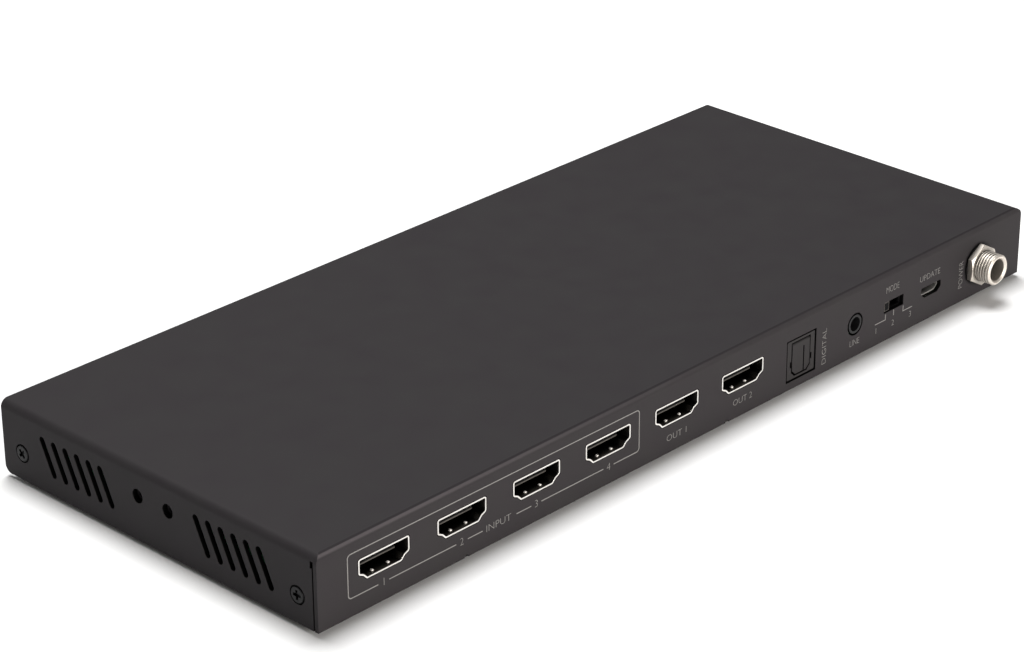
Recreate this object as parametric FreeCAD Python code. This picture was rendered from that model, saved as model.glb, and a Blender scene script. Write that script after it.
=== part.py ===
import FreeCAD, Part
import math
import os

# Video matrix switch in a flat folded-sheet case, in millimetres.
# +Z is up and +Y is the rear panel with the sockets; -Y is the front panel with the buttons.
# The origin is the middle of the whole object's footprint, on the surface that the feet stand on.
# Heights named *_height or *_rise are measured from the underside of the case.

# Case. Names that end in share give a place or a pitch along x as a share of the case's width.
case_width = 242.0
case_depth = 102.5
case_height = 18.0
sheet = 1.0
side_bend_radius = 2.0
rear_bend_radius = 1.3
front_bend_radius = 1.8
cover_corner_radius = 2.0
panel_corner_radius = 1.2
front_lip = 1.5
panel_gap = 0.5
seam_gap = 0.4
relief_width = 0.95
relief_length = 1.6
relief_drop = 1.6

# Feet
foot_height = 1.0
foot_radius = 4.7
foot_edge_radius = 0.7
foot_inset_x = 23.5
foot_inset_y = 14.0

# Side walls: slanted vents, bracket holes and screws
vent_count = 6
vent_pitch = 3.95
vent_first_offset = 15.65
vent_width = 1.85
vent_rise = 9.0
vent_lean = 4.2
vent_centre_height = 9.1
bracket_hole_offset = 4.9
bracket_hole_height = 11.0
bracket_hole_radius = 1.7
bracket_thread_radius = 1.25
screw_offset = 44.9
screw_shift = 0.3
screw_height = 6.8
screw_head_radius = 1.9
screw_head_rise = 0.15
screw_head_edge = 0.2
screw_seat_radius = 2.25
screw_seat_depth = 0.5
screw_shank_radius = 1.25
screw_length = 5.0
screw_recess_depth = 0.55
screw_recess_width = 0.7
screw_recess_length = 2.3
screw_turns = (4.0, 43.0, 21.0, 66.0)
screw_fit = 0.06
screw_tab_width = 7.4
screw_tab_height = 10.5
bracket_tab_width = 17.0
bracket_tab_height = 14.5
edge_notch_radius = 0.6
edge_notch_shares = (0.3215, -0.0318)

# Board
board_thickness = 1.6
board_corner_radius = 1.0
standoff_height = 3.8
board_side_inset = 6.5
board_front_gap = 2.0
board_rear_gap = 1.0
standoff_across_flats = 5.0
standoff_clinch_radius = 2.1
standoff_bore_radius = 1.3
standoff_fit = 0.05
standoff_front_inset = 13.5
standoff_rear_inset = 11.0
standoff_front_shares = (-0.4463, 0.0041, 0.4463)
standoff_rear_shares = (-0.374, -0.1, 0.2789)
board_hole_radius = 1.45
board_screw_head_radius = 2.3
board_screw_head_height = 1.6
board_screw_length = 5.2

# Video sockets, side by side along the rear panel
video_names = ("video_in_1", "video_in_2", "video_in_3", "video_in_4", "video_out_a", "video_out_b")
video_first_share = 0.4215
video_pitch_share = 0.09504
video_centre_height = 9.8
video_width = 14.0
video_opening_height = 4.6
video_shoulder = 3.05
video_step_in = 1.2
video_step_drop = 0.55
video_bottom_inset = 2.15
video_wall = 0.35
video_corner_radius = 0.3
video_depth = 12.0
video_floor_depth = 2.2
video_tongue_width = 10.7
video_tongue_thickness = 0.9
video_tongue_drop = 0.3
video_tongue_recess = 2.4
video_tongue_chamfer = 0.22
video_spring_offset = 2.3
video_spring_setback = 1.5
video_spring_radius = 0.35
video_spring_length = 2.4
video_leg_length = 2.4
video_leg_setback = 2.0
socket_clearance = 0.15
optical_clearance = 0.45
jack_clearance = 0.5
insert_fit = 0.05

# Optical socket
optical_share = -0.14194
optical_centre_height = 7.45
optical_size = 10.0
optical_corner_radius = 0.3
optical_depth = 13.5
optical_recess = 0.15
optical_mouth_width = 7.0
optical_mouth_height = 8.9
optical_mouth_chamfer = 1.2
optical_cavity_depth = 11.2
optical_notch_height = 1.6
optical_notch_depth = 0.5
optical_notch_length = 0.8
optical_notch_drop = 1.15
shutter_setback = 0.1
shutter_thickness = 0.8
shutter_clearance = 0.3
shutter_shift = 0.2
shutter_groove_shift = 1.2
shutter_groove_width = 0.4
shutter_groove_depth = 0.35
shutter_groove_drop = 2.1
shutter_pin_radius = 0.4
shutter_barrel_radius = 0.75
running_fit = 0.05
press_fit_gap = 0.02
emitter_size = 7.0
emitter_corner_radius = 0.4
emitter_nose_radius = 1.3
emitter_nose_length = 1.6
emitter_body_depth = 1.6
ear_width = 2.0
ear_height = 1.2
ear_length = 5.0
notch_clearance = 0.3

# Audio jack
jack_share = -0.2256
jack_centre_height = 8.65
jack_barrel_radius = 2.4
jack_bore_radius = 1.8
jack_bore_length = 10.0
jack_body_width = 6.6
jack_body_depth = 12.0
jack_contact_thickness = 0.3
jack_contact_width = 1.6
jack_contact_shares = (0.3, 0.7)

# Mode slide switch
switch_share = -0.2874
switch_centre_height = 8.87
switch_slot_width = 7.6
switch_slot_height = 2.85
switch_slot_corner_radius = 0.2
switch_knob_width = 1.8
switch_knob_height = 2.3
switch_knob_corner_radius = 0.15
switch_end_gap = 0.5
switch_knob_recess = 0.3
switch_body_width = 11.0
switch_body_height = 4.6
switch_body_depth = 4.4
switch_body_wall = 0.6
switch_carrier_width = 3.6
switch_carrier_thickness = 1.4
slide_clearance = 0.15

# Service socket
service_share = -0.3488
service_width = 7.0
service_opening_height = 1.9
service_chamfer_x = 1.1
service_chamfer_z = 0.9
service_wall = 0.3
service_corner_radius = 0.3
service_depth = 5.4
service_tongue_width = 3.9
service_tongue_thickness = 0.55
service_tongue_recess = 0.9

# DC power socket
dc_share = -0.4277
dc_centre_height = 8.3
barrel_projection = 6.3
barrel_radius = 3.95
barrel_bore_radius = 2.85
barrel_rim_chamfer = 0.35
barrel_bore_depth = 9.5
barrel_flange_radius = 4.8
barrel_flange_thickness = 1.2
barrel_clearance = 0.15
dc_washer_radius = 5.2
dc_washer_thickness = 0.5
dc_nut_across_flats = 9.6
dc_nut_thickness = 1.5
dc_nut_chamfer = 0.45
dc_thread_fit = 0.05
dc_body_size = 10.4
dc_body_depth = 13.0
dc_body_corner_radius = 0.5
dc_pin_radius = 1.05
dc_pin_recess = 3.4

# Front panel: twenty stations in a row hold the lights and the buttons, and each is known by its index
station_pitch_share = 0.04132
first_station_share = -0.3471
button_index = {"out_a": 5, "out_b": 11, "audio": 14, "scale": 17, "return": 19}
light_index = (0, 1, 2, 3, 4, 6, 7, 8, 9, 10, 12, 13, 15, 16, 18)
power_light_share = -0.4512
light_height = 7.3
light_hole_radius = 0.85
light_nose_radius = 0.75
light_nose_recess = 0.8
light_body_width = 2.4
light_body_depth = 2.0
light_body_height = 1.8
button_height = 10.6
button_hole_radius = 3.75
button_radius = 3.5
button_projection = 1.3
button_crown = 0.55
button_edge_radius = 0.35
button_flange_radius = 4.1
button_flange_thickness = 0.8
button_flange_gap = 0.2
button_boss_radius = 2.2
button_travel = 0.4
switch_face_gap = 3.0
plunger_radius = 1.75
plunger_reach = 1.0
plunger_depth = 1.4
plunger_clearance = 0.1
push_switch_width = 6.2
push_switch_depth = 3.5
push_switch_leg = 0.6

# Infra-red receiver
ir_share = -0.4012
ir_window_width = 4.7
ir_window_bottom = 5.9
ir_window_top = 12.8
ir_arch_share = 0.42
ir_window_corner_radius = 0.15
ir_dome_radius = 1.9
ir_body_depth = 2.6
ir_shield_wall = 0.3
ir_shield_width = 6.2
ir_shield_setback = 0.35
ir_bar_width = 0.45
ir_bar_spacing = 1.24
ir_bar_shift = 0.4
ir_bar_top_drop = 2.4

# Chips and power parts on the board
matrix_chip_share = 0.124
matrix_chip_y = 2.0
matrix_chip_size = 20.0
chip_thickness = 1.4
chip_corner_radius = 0.2
thermal_pad_thickness = 0.4
heat_sink_size = 30.0
heat_sink_base = 1.6
heat_sink_height = 6.4
heat_sink_fins = 9
heat_sink_fin_thickness = 1.0
video_chip_shares = (-0.0909, 0.3471)
video_chip_y = 0.0
video_chip_size = 14.0
port_chip_width = 5.0
port_chip_length = 4.0
port_chip_thickness = 1.0
port_chip_setback = 20.0
inductor_size = 7.0
inductor_height = 4.0
inductor_shares = (-0.4132, -0.3471)
inductor_y = 14.0
capacitor_radius = 3.15
capacitor_height = 7.0
capacitor_shares = (-0.438, -0.3802, -0.314)
capacitor_y = -2.0

# Places that follow from the sizes above
half_width = case_width / 2
optical_x = case_width * optical_share
jack_x = case_width * jack_share
switch_x = case_width * switch_share
service_x = case_width * service_share
dc_x = case_width * dc_share
power_light_x = case_width * power_light_share
ir_x = case_width * ir_share
matrix_chip_x = case_width * matrix_chip_share
edge_notch_x = [case_width * share for share in edge_notch_shares]
standoff_front_x = [case_width * share for share in standoff_front_shares]
standoff_rear_x = [case_width * share for share in standoff_rear_shares]
video_chip_x = [case_width * share for share in video_chip_shares]
inductor_x = [case_width * share for share in inductor_shares]
capacitor_x = [case_width * share for share in capacitor_shares]
front_y = -(case_depth + barrel_projection) / 2
rear_y = front_y + case_depth
middle_y = (front_y + rear_y) / 2
floor_z = foot_height
roof_z = floor_z + case_height
floor_top_z = floor_z + sheet
inner_rear_y = rear_y - sheet
panel_y = front_y + front_lip
panel_back_y = panel_y + sheet
panel_top_z = roof_z - sheet - panel_gap
base_half = half_width - sheet - panel_gap
base_rear_y = inner_rear_y - panel_gap
board_z = floor_top_z + standoff_height
board_top_z = board_z + board_thickness
board_half = half_width - board_side_inset
board_front_y = panel_back_y + board_front_gap
board_rear_y = inner_rear_y - board_rear_gap
video_z = floor_z + video_centre_height
optical_z = floor_z + optical_centre_height
jack_z = floor_z + jack_centre_height
switch_z = floor_z + switch_centre_height
dc_z = floor_z + dc_centre_height
light_z = floor_z + light_height
button_z = floor_z + button_height
service_z = board_top_z + service_wall + service_opening_height / 2
overshoot = 1.0
tiny = 1e-6


def box(x0, x1, y0, y1, z0, z1):
    corner = FreeCAD.Vector(min(x0, x1), min(y0, y1), min(z0, z1))
    return Part.makeBox(abs(x1 - x0), abs(y1 - y0), abs(z1 - z0), corner)


def cylinder_y(x, z, radius, y0, y1):
    start = FreeCAD.Vector(x, min(y0, y1), z)
    return Part.makeCylinder(radius, abs(y1 - y0), start, FreeCAD.Vector(0, 1, 0))


def cylinder_x(y, z, radius, x0, x1):
    start = FreeCAD.Vector(min(x0, x1), y, z)
    return Part.makeCylinder(radius, abs(x1 - x0), start, FreeCAD.Vector(1, 0, 0))


def cylinder_z(x, y, radius, z0, z1):
    return Part.makeCylinder(radius, z1 - z0, FreeCAD.Vector(x, y, z0))


def plane_point(plane, level, point):
    if plane == "xz":
        return FreeCAD.Vector(point[0], level, point[1])
    if plane == "yz":
        return FreeCAD.Vector(level, point[0], point[1])
    return FreeCAD.Vector(point[0], point[1], level)


# The two ends and the middle of the arc that rounds one corner
def corner_arc(before, corner, after, radius):
    here = FreeCAD.Vector(corner[0], corner[1], 0)
    back = (FreeCAD.Vector(before[0], before[1], 0) - here).normalize()
    ahead = (FreeCAD.Vector(after[0], after[1], 0) - here).normalize()
    half_angle = back.getAngle(ahead) / 2
    reach = radius / math.tan(half_angle)
    inward = (back + ahead).normalize()
    middle = here + inward * (radius / math.sin(half_angle) - radius)
    return here + back * reach, middle, here + ahead * reach


# A closed outline through the corners, each rounded by its own radius
def outline(plane, level, corners, radii):
    edges = []
    points = []
    count = len(corners)
    for index, corner in enumerate(corners):
        if radii[index] > 0:
            before = corners[index - 1]
            after = corners[(index + 1) % count]
            arc = corner_arc(before, corner, after, radii[index])
            spots = [plane_point(plane, level, (spot.x, spot.y)) for spot in arc]
            edges.append(Part.Arc(*spots).toShape())
            points.append((spots[0], spots[2]))
        else:
            spot = plane_point(plane, level, corner)
            points.append((spot, spot))
    for index in range(count):
        start = points[index][1]
        end = points[(index + 1) % count][0]
        if start.distanceToPoint(end) > tiny:
            edges.append(Part.LineSegment(start, end).toShape())
    return Part.Wire(Part.__sortEdges__(edges))


def prism(plane, start, end, corners, radii=None):
    if radii is None:
        radii = [0] * len(corners)
    if not isinstance(radii, (list, tuple)):
        radii = [radii] * len(corners)
    face = Part.Face(outline(plane, start, corners, radii))
    travel = plane_point(plane, end, (0, 0)) - plane_point(plane, start, (0, 0))
    return face.extrude(travel)


# A corner list, counter-clockwise, with every side moved out by the same amount
def grown(corners, amount):
    moved = []
    count = len(corners)
    for index, corner in enumerate(corners):
        before = corners[index - 1]
        after = corners[(index + 1) % count]
        into = FreeCAD.Vector(corner[0] - before[0], corner[1] - before[1], 0).normalize()
        out = FreeCAD.Vector(after[0] - corner[0], after[1] - corner[1], 0).normalize()
        first = FreeCAD.Vector(into.y, -into.x, 0)
        second = FreeCAD.Vector(out.y, -out.x, 0)
        shift = (first + second) * (amount / (1 + first.dot(second)))
        moved.append((corner[0] + shift.x, corner[1] + shift.y))
    return moved


def rectangle(centre_u, centre_v, width, height):
    right = centre_u + width / 2
    left = centre_u - width / 2
    top = centre_v + height / 2
    bottom = centre_v - height / 2
    return [(right, top), (left, top), (left, bottom), (right, bottom)]


def hexagon(centre_u, centre_v, across_flats):
    corner_radius = across_flats / 2 / math.cos(math.radians(30))
    corners = []
    for index in range(6):
        angle = math.radians(90 + 60 * index)
        u = centre_u + corner_radius * math.cos(angle)
        v = centre_v + corner_radius * math.sin(angle)
        corners.append((u, v))
    return corners


def ring_y(x, z, outer_radius, inner_radius, y0, y1):
    outer = cylinder_y(x, z, outer_radius, y0, y1)
    return outer.cut(cylinder_y(x, z, inner_radius, y0 - overshoot, y1 + overshoot))


# What a round corner of this radius takes away from a square one along x
def corner_waste(y, z, radius, side_y, x0, x1):
    block = box(x0, x1, y - side_y * overshoot, y + side_y * radius, z - overshoot, z + radius)
    return block.cut(cylinder_x(y + side_y * radius, z + radius, radius, x0, x1))


def station_x(index):
    return case_width * (first_station_share + station_pitch_share * index)


def video_x(index):
    return case_width * (video_first_share - video_pitch_share * index)


def screw_positions():
    rows = (middle_y + screw_shift + screw_offset, middle_y + screw_shift - screw_offset)
    return [(side, y) for side in (1, -1) for y in rows]


def standoff_positions():
    front = [(x, panel_back_y + standoff_front_inset) for x in standoff_front_x]
    rear = [(x, inner_rear_y - standoff_rear_inset) for x in standoff_rear_x]
    return front + rear


# Socket outlines in the rear panel's plane, counter-clockwise from the upper +X corner
def video_corners(x):
    half = video_width / 2
    top = video_z + video_opening_height / 2
    bottom = video_z - video_opening_height / 2
    shoulder = top - video_shoulder
    step = shoulder - video_step_drop
    left = [(x - half, top), (x - half, shoulder), (x - half + video_step_in, step)]
    right = [(x + half - video_step_in, step), (x + half, shoulder)]
    base = [(x - half + video_bottom_inset, bottom), (x + half - video_bottom_inset, bottom)]
    return [(x + half, top)] + left + base + right


def video_radii(extra):
    outer = video_corner_radius + extra
    inner = video_corner_radius
    return [outer, outer, outer, inner, outer, outer, inner, outer]


def service_corners():
    half = service_width / 2
    top = service_z + service_opening_height / 2
    bottom = service_z - service_opening_height / 2
    bend = bottom + service_chamfer_z
    left = [(service_x - half, top), (service_x - half, bend)]
    left.append((service_x - half + service_chamfer_x, bottom))
    right = [(service_x + half - service_chamfer_x, bottom), (service_x + half, bend)]
    return [(service_x + half, top)] + left + right


def optical_mouth_corners(shrink):
    half = optical_mouth_width / 2 - shrink
    top = optical_z + optical_mouth_height / 2 - shrink
    bottom = optical_z - optical_mouth_height / 2 + shrink
    cut = optical_mouth_chamfer
    left = [(optical_x - half, top), (optical_x - half, bottom + cut), (optical_x - half + cut, bottom)]
    right = [(optical_x + half - cut, bottom), (optical_x + half, bottom + cut)]
    return [(optical_x + half, top)] + left + right


# Cover

def cover_block(inset, extension):
    side = half_width - inset
    top = roof_z - inset
    low = floor_z - extension
    back = rear_y - inset
    front = front_y - extension
    bend = side_bend_radius - inset
    rear_bend = rear_bend_radius - inset
    wide = [(side, top), (-side, top), (-side, low), (side, low)]
    across = prism("xz", front, back, wide, [bend, bend, 0, 0])
    long = [(back, top), (front, top), (front, low), (back, low)]
    along = prism("yz", -side, side, long, [rear_bend, 0, 0, 0])
    return across.common(along)


def vent_cutters():
    cutters = []
    length = math.hypot(vent_rise, vent_lean) - vent_width
    lean = math.atan2(vent_lean, vent_rise)
    half = length / 2
    centre_z = floor_z + vent_centre_height
    radius = vent_width / 2
    for side in (1, -1):
        for index in range(vent_count):
            y = middle_y + side * (vent_first_offset + vent_pitch * index)
            bar = box(-half_width - overshoot, half_width + overshoot, -radius, radius, -half, half)
            reach = half_width + overshoot
            ends = [cylinder_x(0, end, radius, -reach, reach) for end in (half, -half)]
            slot = bar.fuse(ends).removeSplitter()
            slot.rotate(FreeCAD.Vector(0, 0, 0), FreeCAD.Vector(1, 0, 0), math.degrees(lean))
            slot.translate(FreeCAD.Vector(0, y, centre_z))
            cutters.append(slot)
    return cutters


def side_hole_cutters():
    cutters = []
    height = floor_z + bracket_hole_height
    reach = half_width + overshoot
    for offset in (bracket_hole_offset, -bracket_hole_offset):
        cutters.append(cylinder_x(middle_y + offset, height, bracket_hole_radius, -reach, reach))
    for side, y in screw_positions():
        cutters.append(screw_hole(side, y))
    return cutters


# The shank's hole through the side, and the wider seat that the flat head lies in
def screw_hole(side, y):
    z = floor_z + screw_height
    face = side * (half_width + overshoot)
    shank_end = side * (half_width - screw_length - screw_fit)
    shank = cylinder_x(y, z, screw_shank_radius + screw_fit, min(face, shank_end), max(face, shank_end))
    seat_end = side * (half_width - screw_seat_depth)
    seat = cylinder_x(y, z, screw_seat_radius, min(face, seat_end), max(face, seat_end))
    return shank.fuse(seat)


def seam_cutters():
    cutters = []
    relief_top = roof_z - relief_drop
    for side in (1, -1):
        inner = side * (half_width - side_bend_radius)
        outer = side * (half_width + overshoot)
        seam_front = inner_rear_y - seam_gap
        cutters.append(box(inner, outer, seam_front, inner_rear_y, floor_z - overshoot, relief_top))
        low = relief_top - relief_length
        cutters.append(box(inner, outer, inner_rear_y - relief_width, inner_rear_y, low, relief_top))
    return cutters


def rear_cutters():
    low = inner_rear_y - overshoot
    high = rear_y + overshoot
    cutters = []
    for index in range(len(video_names)):
        corners = grown(video_corners(video_x(index)), video_wall + socket_clearance)
        cutters.append(prism("xz", low, high, corners, video_radii(video_wall)))
    gap = 2 * optical_clearance
    optical = rectangle(optical_x, optical_z, optical_size + gap, optical_size + gap)
    cutters.append(prism("xz", low, high, optical))
    cutters.append(cylinder_y(jack_x, jack_z, jack_barrel_radius + jack_clearance, low, high))
    slot = rectangle(switch_x, switch_z, switch_slot_width, switch_slot_height)
    cutters.append(prism("xz", low, high, slot, switch_slot_corner_radius))
    service = grown(service_corners(), service_wall + socket_clearance)
    cutters.append(prism("xz", low, high, service, service_corner_radius + socket_clearance))
    cutters.append(cylinder_y(dc_x, dc_z, barrel_radius + barrel_clearance, low, high))
    for x in edge_notch_x:
        cutters.append(cylinder_y(x, floor_z, edge_notch_radius, low, high))
    return cutters


def top_cover():
    shell = cover_block(0, 0).cut(cover_block(sheet, overshoot))
    cutters = vent_cutters() + side_hole_cutters() + seam_cutters() + rear_cutters()
    span = half_width + overshoot
    cutters.append(corner_waste(front_y, floor_z, cover_corner_radius, 1, -span, span))
    return shell.cut(cutters)


# Base

def base_chassis():
    low_corners = [(panel_y, floor_z), (base_rear_y, floor_z), (base_rear_y, floor_top_z)]
    high_corners = [(panel_back_y, floor_top_z), (panel_back_y, panel_top_z), (panel_y, panel_top_z)]
    radii = [front_bend_radius, 0, 0, front_bend_radius - sheet, 0, 0]
    base = prism("yz", -base_half, base_half, low_corners + high_corners, radii)
    tabs = []
    for side, y in screw_positions():
        half = screw_tab_width / 2
        top = floor_z + screw_tab_height
        tabs.append(box(side * (base_half - sheet), side * base_half, y - half, y + half, floor_z, top))
    for side in (1, -1):
        half = bracket_tab_width / 2
        top = floor_z + bracket_tab_height
        inner = side * (base_half - sheet)
        tabs.append(box(inner, side * base_half, middle_y - half, middle_y + half, floor_z, top))
    base = base.fuse(tabs)
    return base.cut(base_cutters()).removeSplitter()


def base_cutters():
    cutters = []
    low = panel_y - overshoot
    high = panel_back_y + overshoot
    for index in light_index:
        cutters.append(cylinder_y(station_x(index), light_z, light_hole_radius, low, high))
    cutters.append(cylinder_y(power_light_x, light_z, light_hole_radius, low, high))
    for index in button_index.values():
        cutters.append(cylinder_y(station_x(index), button_z, button_hole_radius, low, high))
    cutters.append(prism("xz", low, high, ir_window_corners(), ir_window_radii()))
    for side, y in screw_positions():
        cutters.append(screw_hole(side, y))
    for x, y in standoff_positions():
        radius = standoff_clinch_radius + standoff_fit
        cutters.append(cylinder_z(x, y, radius, floor_z - overshoot, floor_top_z + overshoot))
    height = floor_z + bracket_hole_height
    for side in (1, -1):
        for offset in (bracket_hole_offset, -bracket_hole_offset):
            start = side * (base_half - sheet - overshoot)
            end = side * (base_half + overshoot)
            cutters.append(cylinder_x(middle_y + offset, height, bracket_thread_radius, start, end))
        corner = side * base_half
        radius = panel_corner_radius
        outside = corner + side * overshoot
        block = box(corner - side * radius, outside, low, high, floor_z - overshoot, floor_z + radius)
        round_part = cylinder_y(corner - side * radius, floor_z + radius, radius, low, high)
        cutters.append(block.cut(round_part))
    return cutters


# One flat-head screw along Z, its head up and the underside of its head at the origin
def flat_head_screw():
    height = screw_seat_depth + screw_head_rise
    head = cylinder_z(0, 0, screw_head_radius, 0, height)
    rim = [edge for edge in head.Edges if edge.BoundBox.ZMin > height - tiny]
    head = head.makeFillet(screw_head_edge, rim)
    shank = cylinder_z(0, 0, screw_shank_radius, screw_seat_depth - screw_length, 0)
    low = height - screw_recess_depth
    high = height + overshoot
    wide = screw_recess_width / 2
    long = screw_recess_length / 2
    first = box(-wide, wide, -long, long, low, high)
    second = box(-long, long, -wide, wide, low, high)
    return head.fuse(shank).cut([first, second]).removeSplitter()


def side_screws():
    solids = []
    for (side, y), turn in zip(screw_positions(), screw_turns):
        screw = flat_head_screw()
        screw.rotate(FreeCAD.Vector(0, 0, 0), FreeCAD.Vector(0, 0, 1), turn)
        screw.rotate(FreeCAD.Vector(0, 0, 0), FreeCAD.Vector(0, 1, 0), side * 90)
        seat = side * (half_width - screw_seat_depth)
        screw.translate(FreeCAD.Vector(seat, y, floor_z + screw_height))
        solids.append(screw)
    return Part.makeCompound(solids)


def foot(x, y):
    disc = cylinder_z(x, y, foot_radius, 0, foot_height)
    rim = [edge for edge in disc.Edges if edge.BoundBox.ZMax < tiny]
    return disc.makeFillet(foot_edge_radius, rim)


# Board

def main_board():
    y0 = board_front_y
    y1 = board_rear_y
    corners = [(board_half, y1), (-board_half, y1), (-board_half, y0), (board_half, y0)]
    board = prism("xy", board_z, board_top_z, corners, board_corner_radius)
    cutters = []
    for x, y in standoff_positions():
        cutters.append(cylinder_z(x, y, board_hole_radius, board_z - overshoot, board_top_z + overshoot))
    optical_notch = (optical_x, optical_size, optical_back_y() - emitter_body_depth)
    dc_notch = (dc_x, dc_body_size, dc_back_y())
    low = board_z - overshoot
    high = board_top_z + overshoot
    for x, width, back_y in (optical_notch, dc_notch):
        half = width / 2 + notch_clearance
        start = back_y - notch_clearance
        cutters.append(box(x - half, x + half, start, y1 + overshoot, low, high))
    return board.cut(cutters)


def board_standoffs():
    solids = []
    for x, y in standoff_positions():
        body = prism("xy", floor_top_z, board_z, hexagon(x, y, standoff_across_flats))
        clinch = cylinder_z(x, y, standoff_clinch_radius, floor_z, floor_top_z)
        bore = cylinder_z(x, y, standoff_bore_radius, floor_top_z, board_z + overshoot)
        solids.append(body.fuse(clinch).cut(bore).removeSplitter())
    return Part.makeCompound(solids)


def board_screws():
    solids = []
    for x, y in standoff_positions():
        top = board_top_z + board_screw_head_height
        head = cylinder_z(x, y, board_screw_head_radius, board_top_z, top)
        rim = [edge for edge in head.Edges if edge.BoundBox.ZMin > top - tiny]
        head = head.makeFillet(board_screw_head_height / 3, rim)
        shank = cylinder_z(x, y, screw_shank_radius, board_top_z - board_screw_length, board_top_z)
        half_slot = screw_recess_width / 2
        half_length = screw_recess_length / 2
        low = top - screw_recess_depth
        first = box(x - half_slot, x + half_slot, y - half_length, y + half_length, low, top + overshoot)
        second = box(x - half_length, x + half_length, y - half_slot, y + half_slot, low, top + overshoot)
        solids.append(head.fuse(shank).cut([first, second]).removeSplitter())
    return Part.makeCompound(solids)


# Video sockets

def video_shell(index):
    x = video_x(index)
    back = rear_y - video_depth
    inner_corners = video_corners(x)
    outer = prism("xz", back, rear_y, grown(inner_corners, video_wall), video_radii(video_wall))
    inner = prism("xz", back + video_wall, rear_y + overshoot, inner_corners, video_radii(0))
    shell = outer.cut(inner)
    additions = []
    bottom = video_z - video_opening_height / 2
    front = rear_y - video_spring_setback
    for side in (1, -1):
        spring_x = x + side * video_spring_offset
        spring = cylinder_y(spring_x, bottom, video_spring_radius, front - video_spring_length, front)
        additions.append(spring)
        leg_outer = x + side * (video_width / 2 + video_wall)
        leg_inner = leg_outer - side * video_wall
        leg_top = video_z + video_opening_height / 2 - video_shoulder / 2
        leg_front = inner_rear_y - video_leg_setback
        leg_start = leg_front - video_leg_length
        additions.append(box(leg_inner, leg_outer, leg_start, leg_front, board_top_z, leg_top))
        leg_back = back + video_leg_length
        additions.append(box(leg_inner, leg_outer, back, leg_back, board_top_z, leg_top))
    return shell.fuse(additions).removeSplitter()


def video_insert(index):
    x = video_x(index)
    back = rear_y - video_depth + video_wall + insert_fit
    block_corners = grown(video_corners(x), -insert_fit)
    block = prism("xz", back, back + video_floor_depth, block_corners, video_radii(0))
    low = video_z - video_tongue_drop - video_tongue_thickness / 2
    half = video_tongue_width / 2
    front = rear_y - video_tongue_recess
    tongue = box(x - half, x + half, back, front, low, low + video_tongue_thickness)
    front_edges = [edge for edge in tongue.Edges if edge.BoundBox.YMin > front - tiny]
    tip = [edge for edge in front_edges if edge.BoundBox.XLength > half]
    tongue = tongue.makeChamfer(video_tongue_chamfer, tip)
    return block.fuse(tongue).removeSplitter()


# Optical socket

def optical_front_y():
    return rear_y - optical_recess


def optical_back_y():
    return optical_front_y() - optical_depth


def shutter_axis():
    y = optical_front_y() - shutter_setback - shutter_barrel_radius
    z = optical_z + optical_mouth_height / 2 - shutter_clearance - shutter_barrel_radius
    return y, z


def board_ears(x, half_size, back_y):
    ears = []
    for side in (1, -1):
        inner = x + side * half_size
        outer = inner + side * (ear_width + notch_clearance)
        front = back_y + ear_length
        ears.append(box(inner, outer, back_y, front, board_top_z, board_top_z + ear_height))
    return ears


def optical_housing():
    front = optical_front_y()
    back = optical_back_y()
    outline = rectangle(optical_x, optical_z, optical_size, optical_size)
    block = prism("xz", back, front, outline, optical_corner_radius)
    block = block.fuse(board_ears(optical_x, optical_size / 2, back))
    cavity = prism("xz", front - optical_cavity_depth, front + overshoot, optical_mouth_corners(0))
    nose_hole = cylinder_y(optical_x, optical_z, emitter_nose_radius + insert_fit, back - overshoot, front)
    notch_z = optical_z - optical_notch_drop
    reach = optical_mouth_width / 2 + optical_notch_depth
    notch_back = front - optical_notch_length
    half_notch = optical_notch_height / 2
    latch = box(optical_x - reach, optical_x + reach, notch_back, front + overshoot,
                notch_z - half_notch, notch_z + half_notch)
    axis_y, axis_z = shutter_axis()
    pin_reach = optical_size / 2 + overshoot
    pin_bore = shutter_pin_radius + press_fit_gap
    pin_hole = cylinder_x(axis_y, axis_z, pin_bore, optical_x - pin_reach, optical_x + pin_reach)
    return block.cut([cavity, nose_hole, latch, pin_hole]).removeSplitter()


def optical_shutter():
    axis_y, axis_z = shutter_axis()
    plate_front = axis_y + shutter_barrel_radius
    plate_back = plate_front - shutter_thickness
    plate = prism("xz", plate_back, plate_front, optical_mouth_corners(shutter_clearance))
    plate.translate(FreeCAD.Vector(-shutter_shift, 0, 0))
    middle_x = optical_x - shutter_shift
    low_x = optical_x - optical_size
    high_x = optical_x + optical_size
    above = box(low_x, high_x, plate_back - overshoot, plate_front + overshoot, axis_z, roof_z)
    plate = plate.cut(above)
    half = optical_mouth_width / 2 - shutter_clearance
    barrel = cylinder_x(axis_y, axis_z, shutter_barrel_radius, middle_x - half, middle_x + half)
    bore = cylinder_x(axis_y, axis_z, shutter_pin_radius + running_fit, low_x, high_x)
    groove_x = optical_x - shutter_groove_shift
    wide = shutter_groove_width / 2
    groove_top = optical_z + optical_mouth_height / 2 - shutter_groove_drop
    groove_floor = plate_front - shutter_groove_depth
    groove_end = plate_front + overshoot
    groove = box(groove_x - wide, groove_x + wide, groove_floor, groove_end, floor_z, groove_top)
    return plate.fuse(barrel).cut([bore, groove]).removeSplitter()


def optical_shutter_pin():
    axis_y, axis_z = shutter_axis()
    half = optical_size / 2
    return cylinder_x(axis_y, axis_z, shutter_pin_radius, optical_x - half, optical_x + half)


def optical_emitter():
    back = optical_back_y()
    outline_corners = rectangle(optical_x, optical_z, emitter_size, emitter_size)
    body = prism("xz", back - emitter_body_depth, back, outline_corners, emitter_corner_radius)
    nose = cylinder_y(optical_x, optical_z, emitter_nose_radius, back, back + emitter_nose_length)
    return body.fuse(nose).removeSplitter()


# Audio jack

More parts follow.
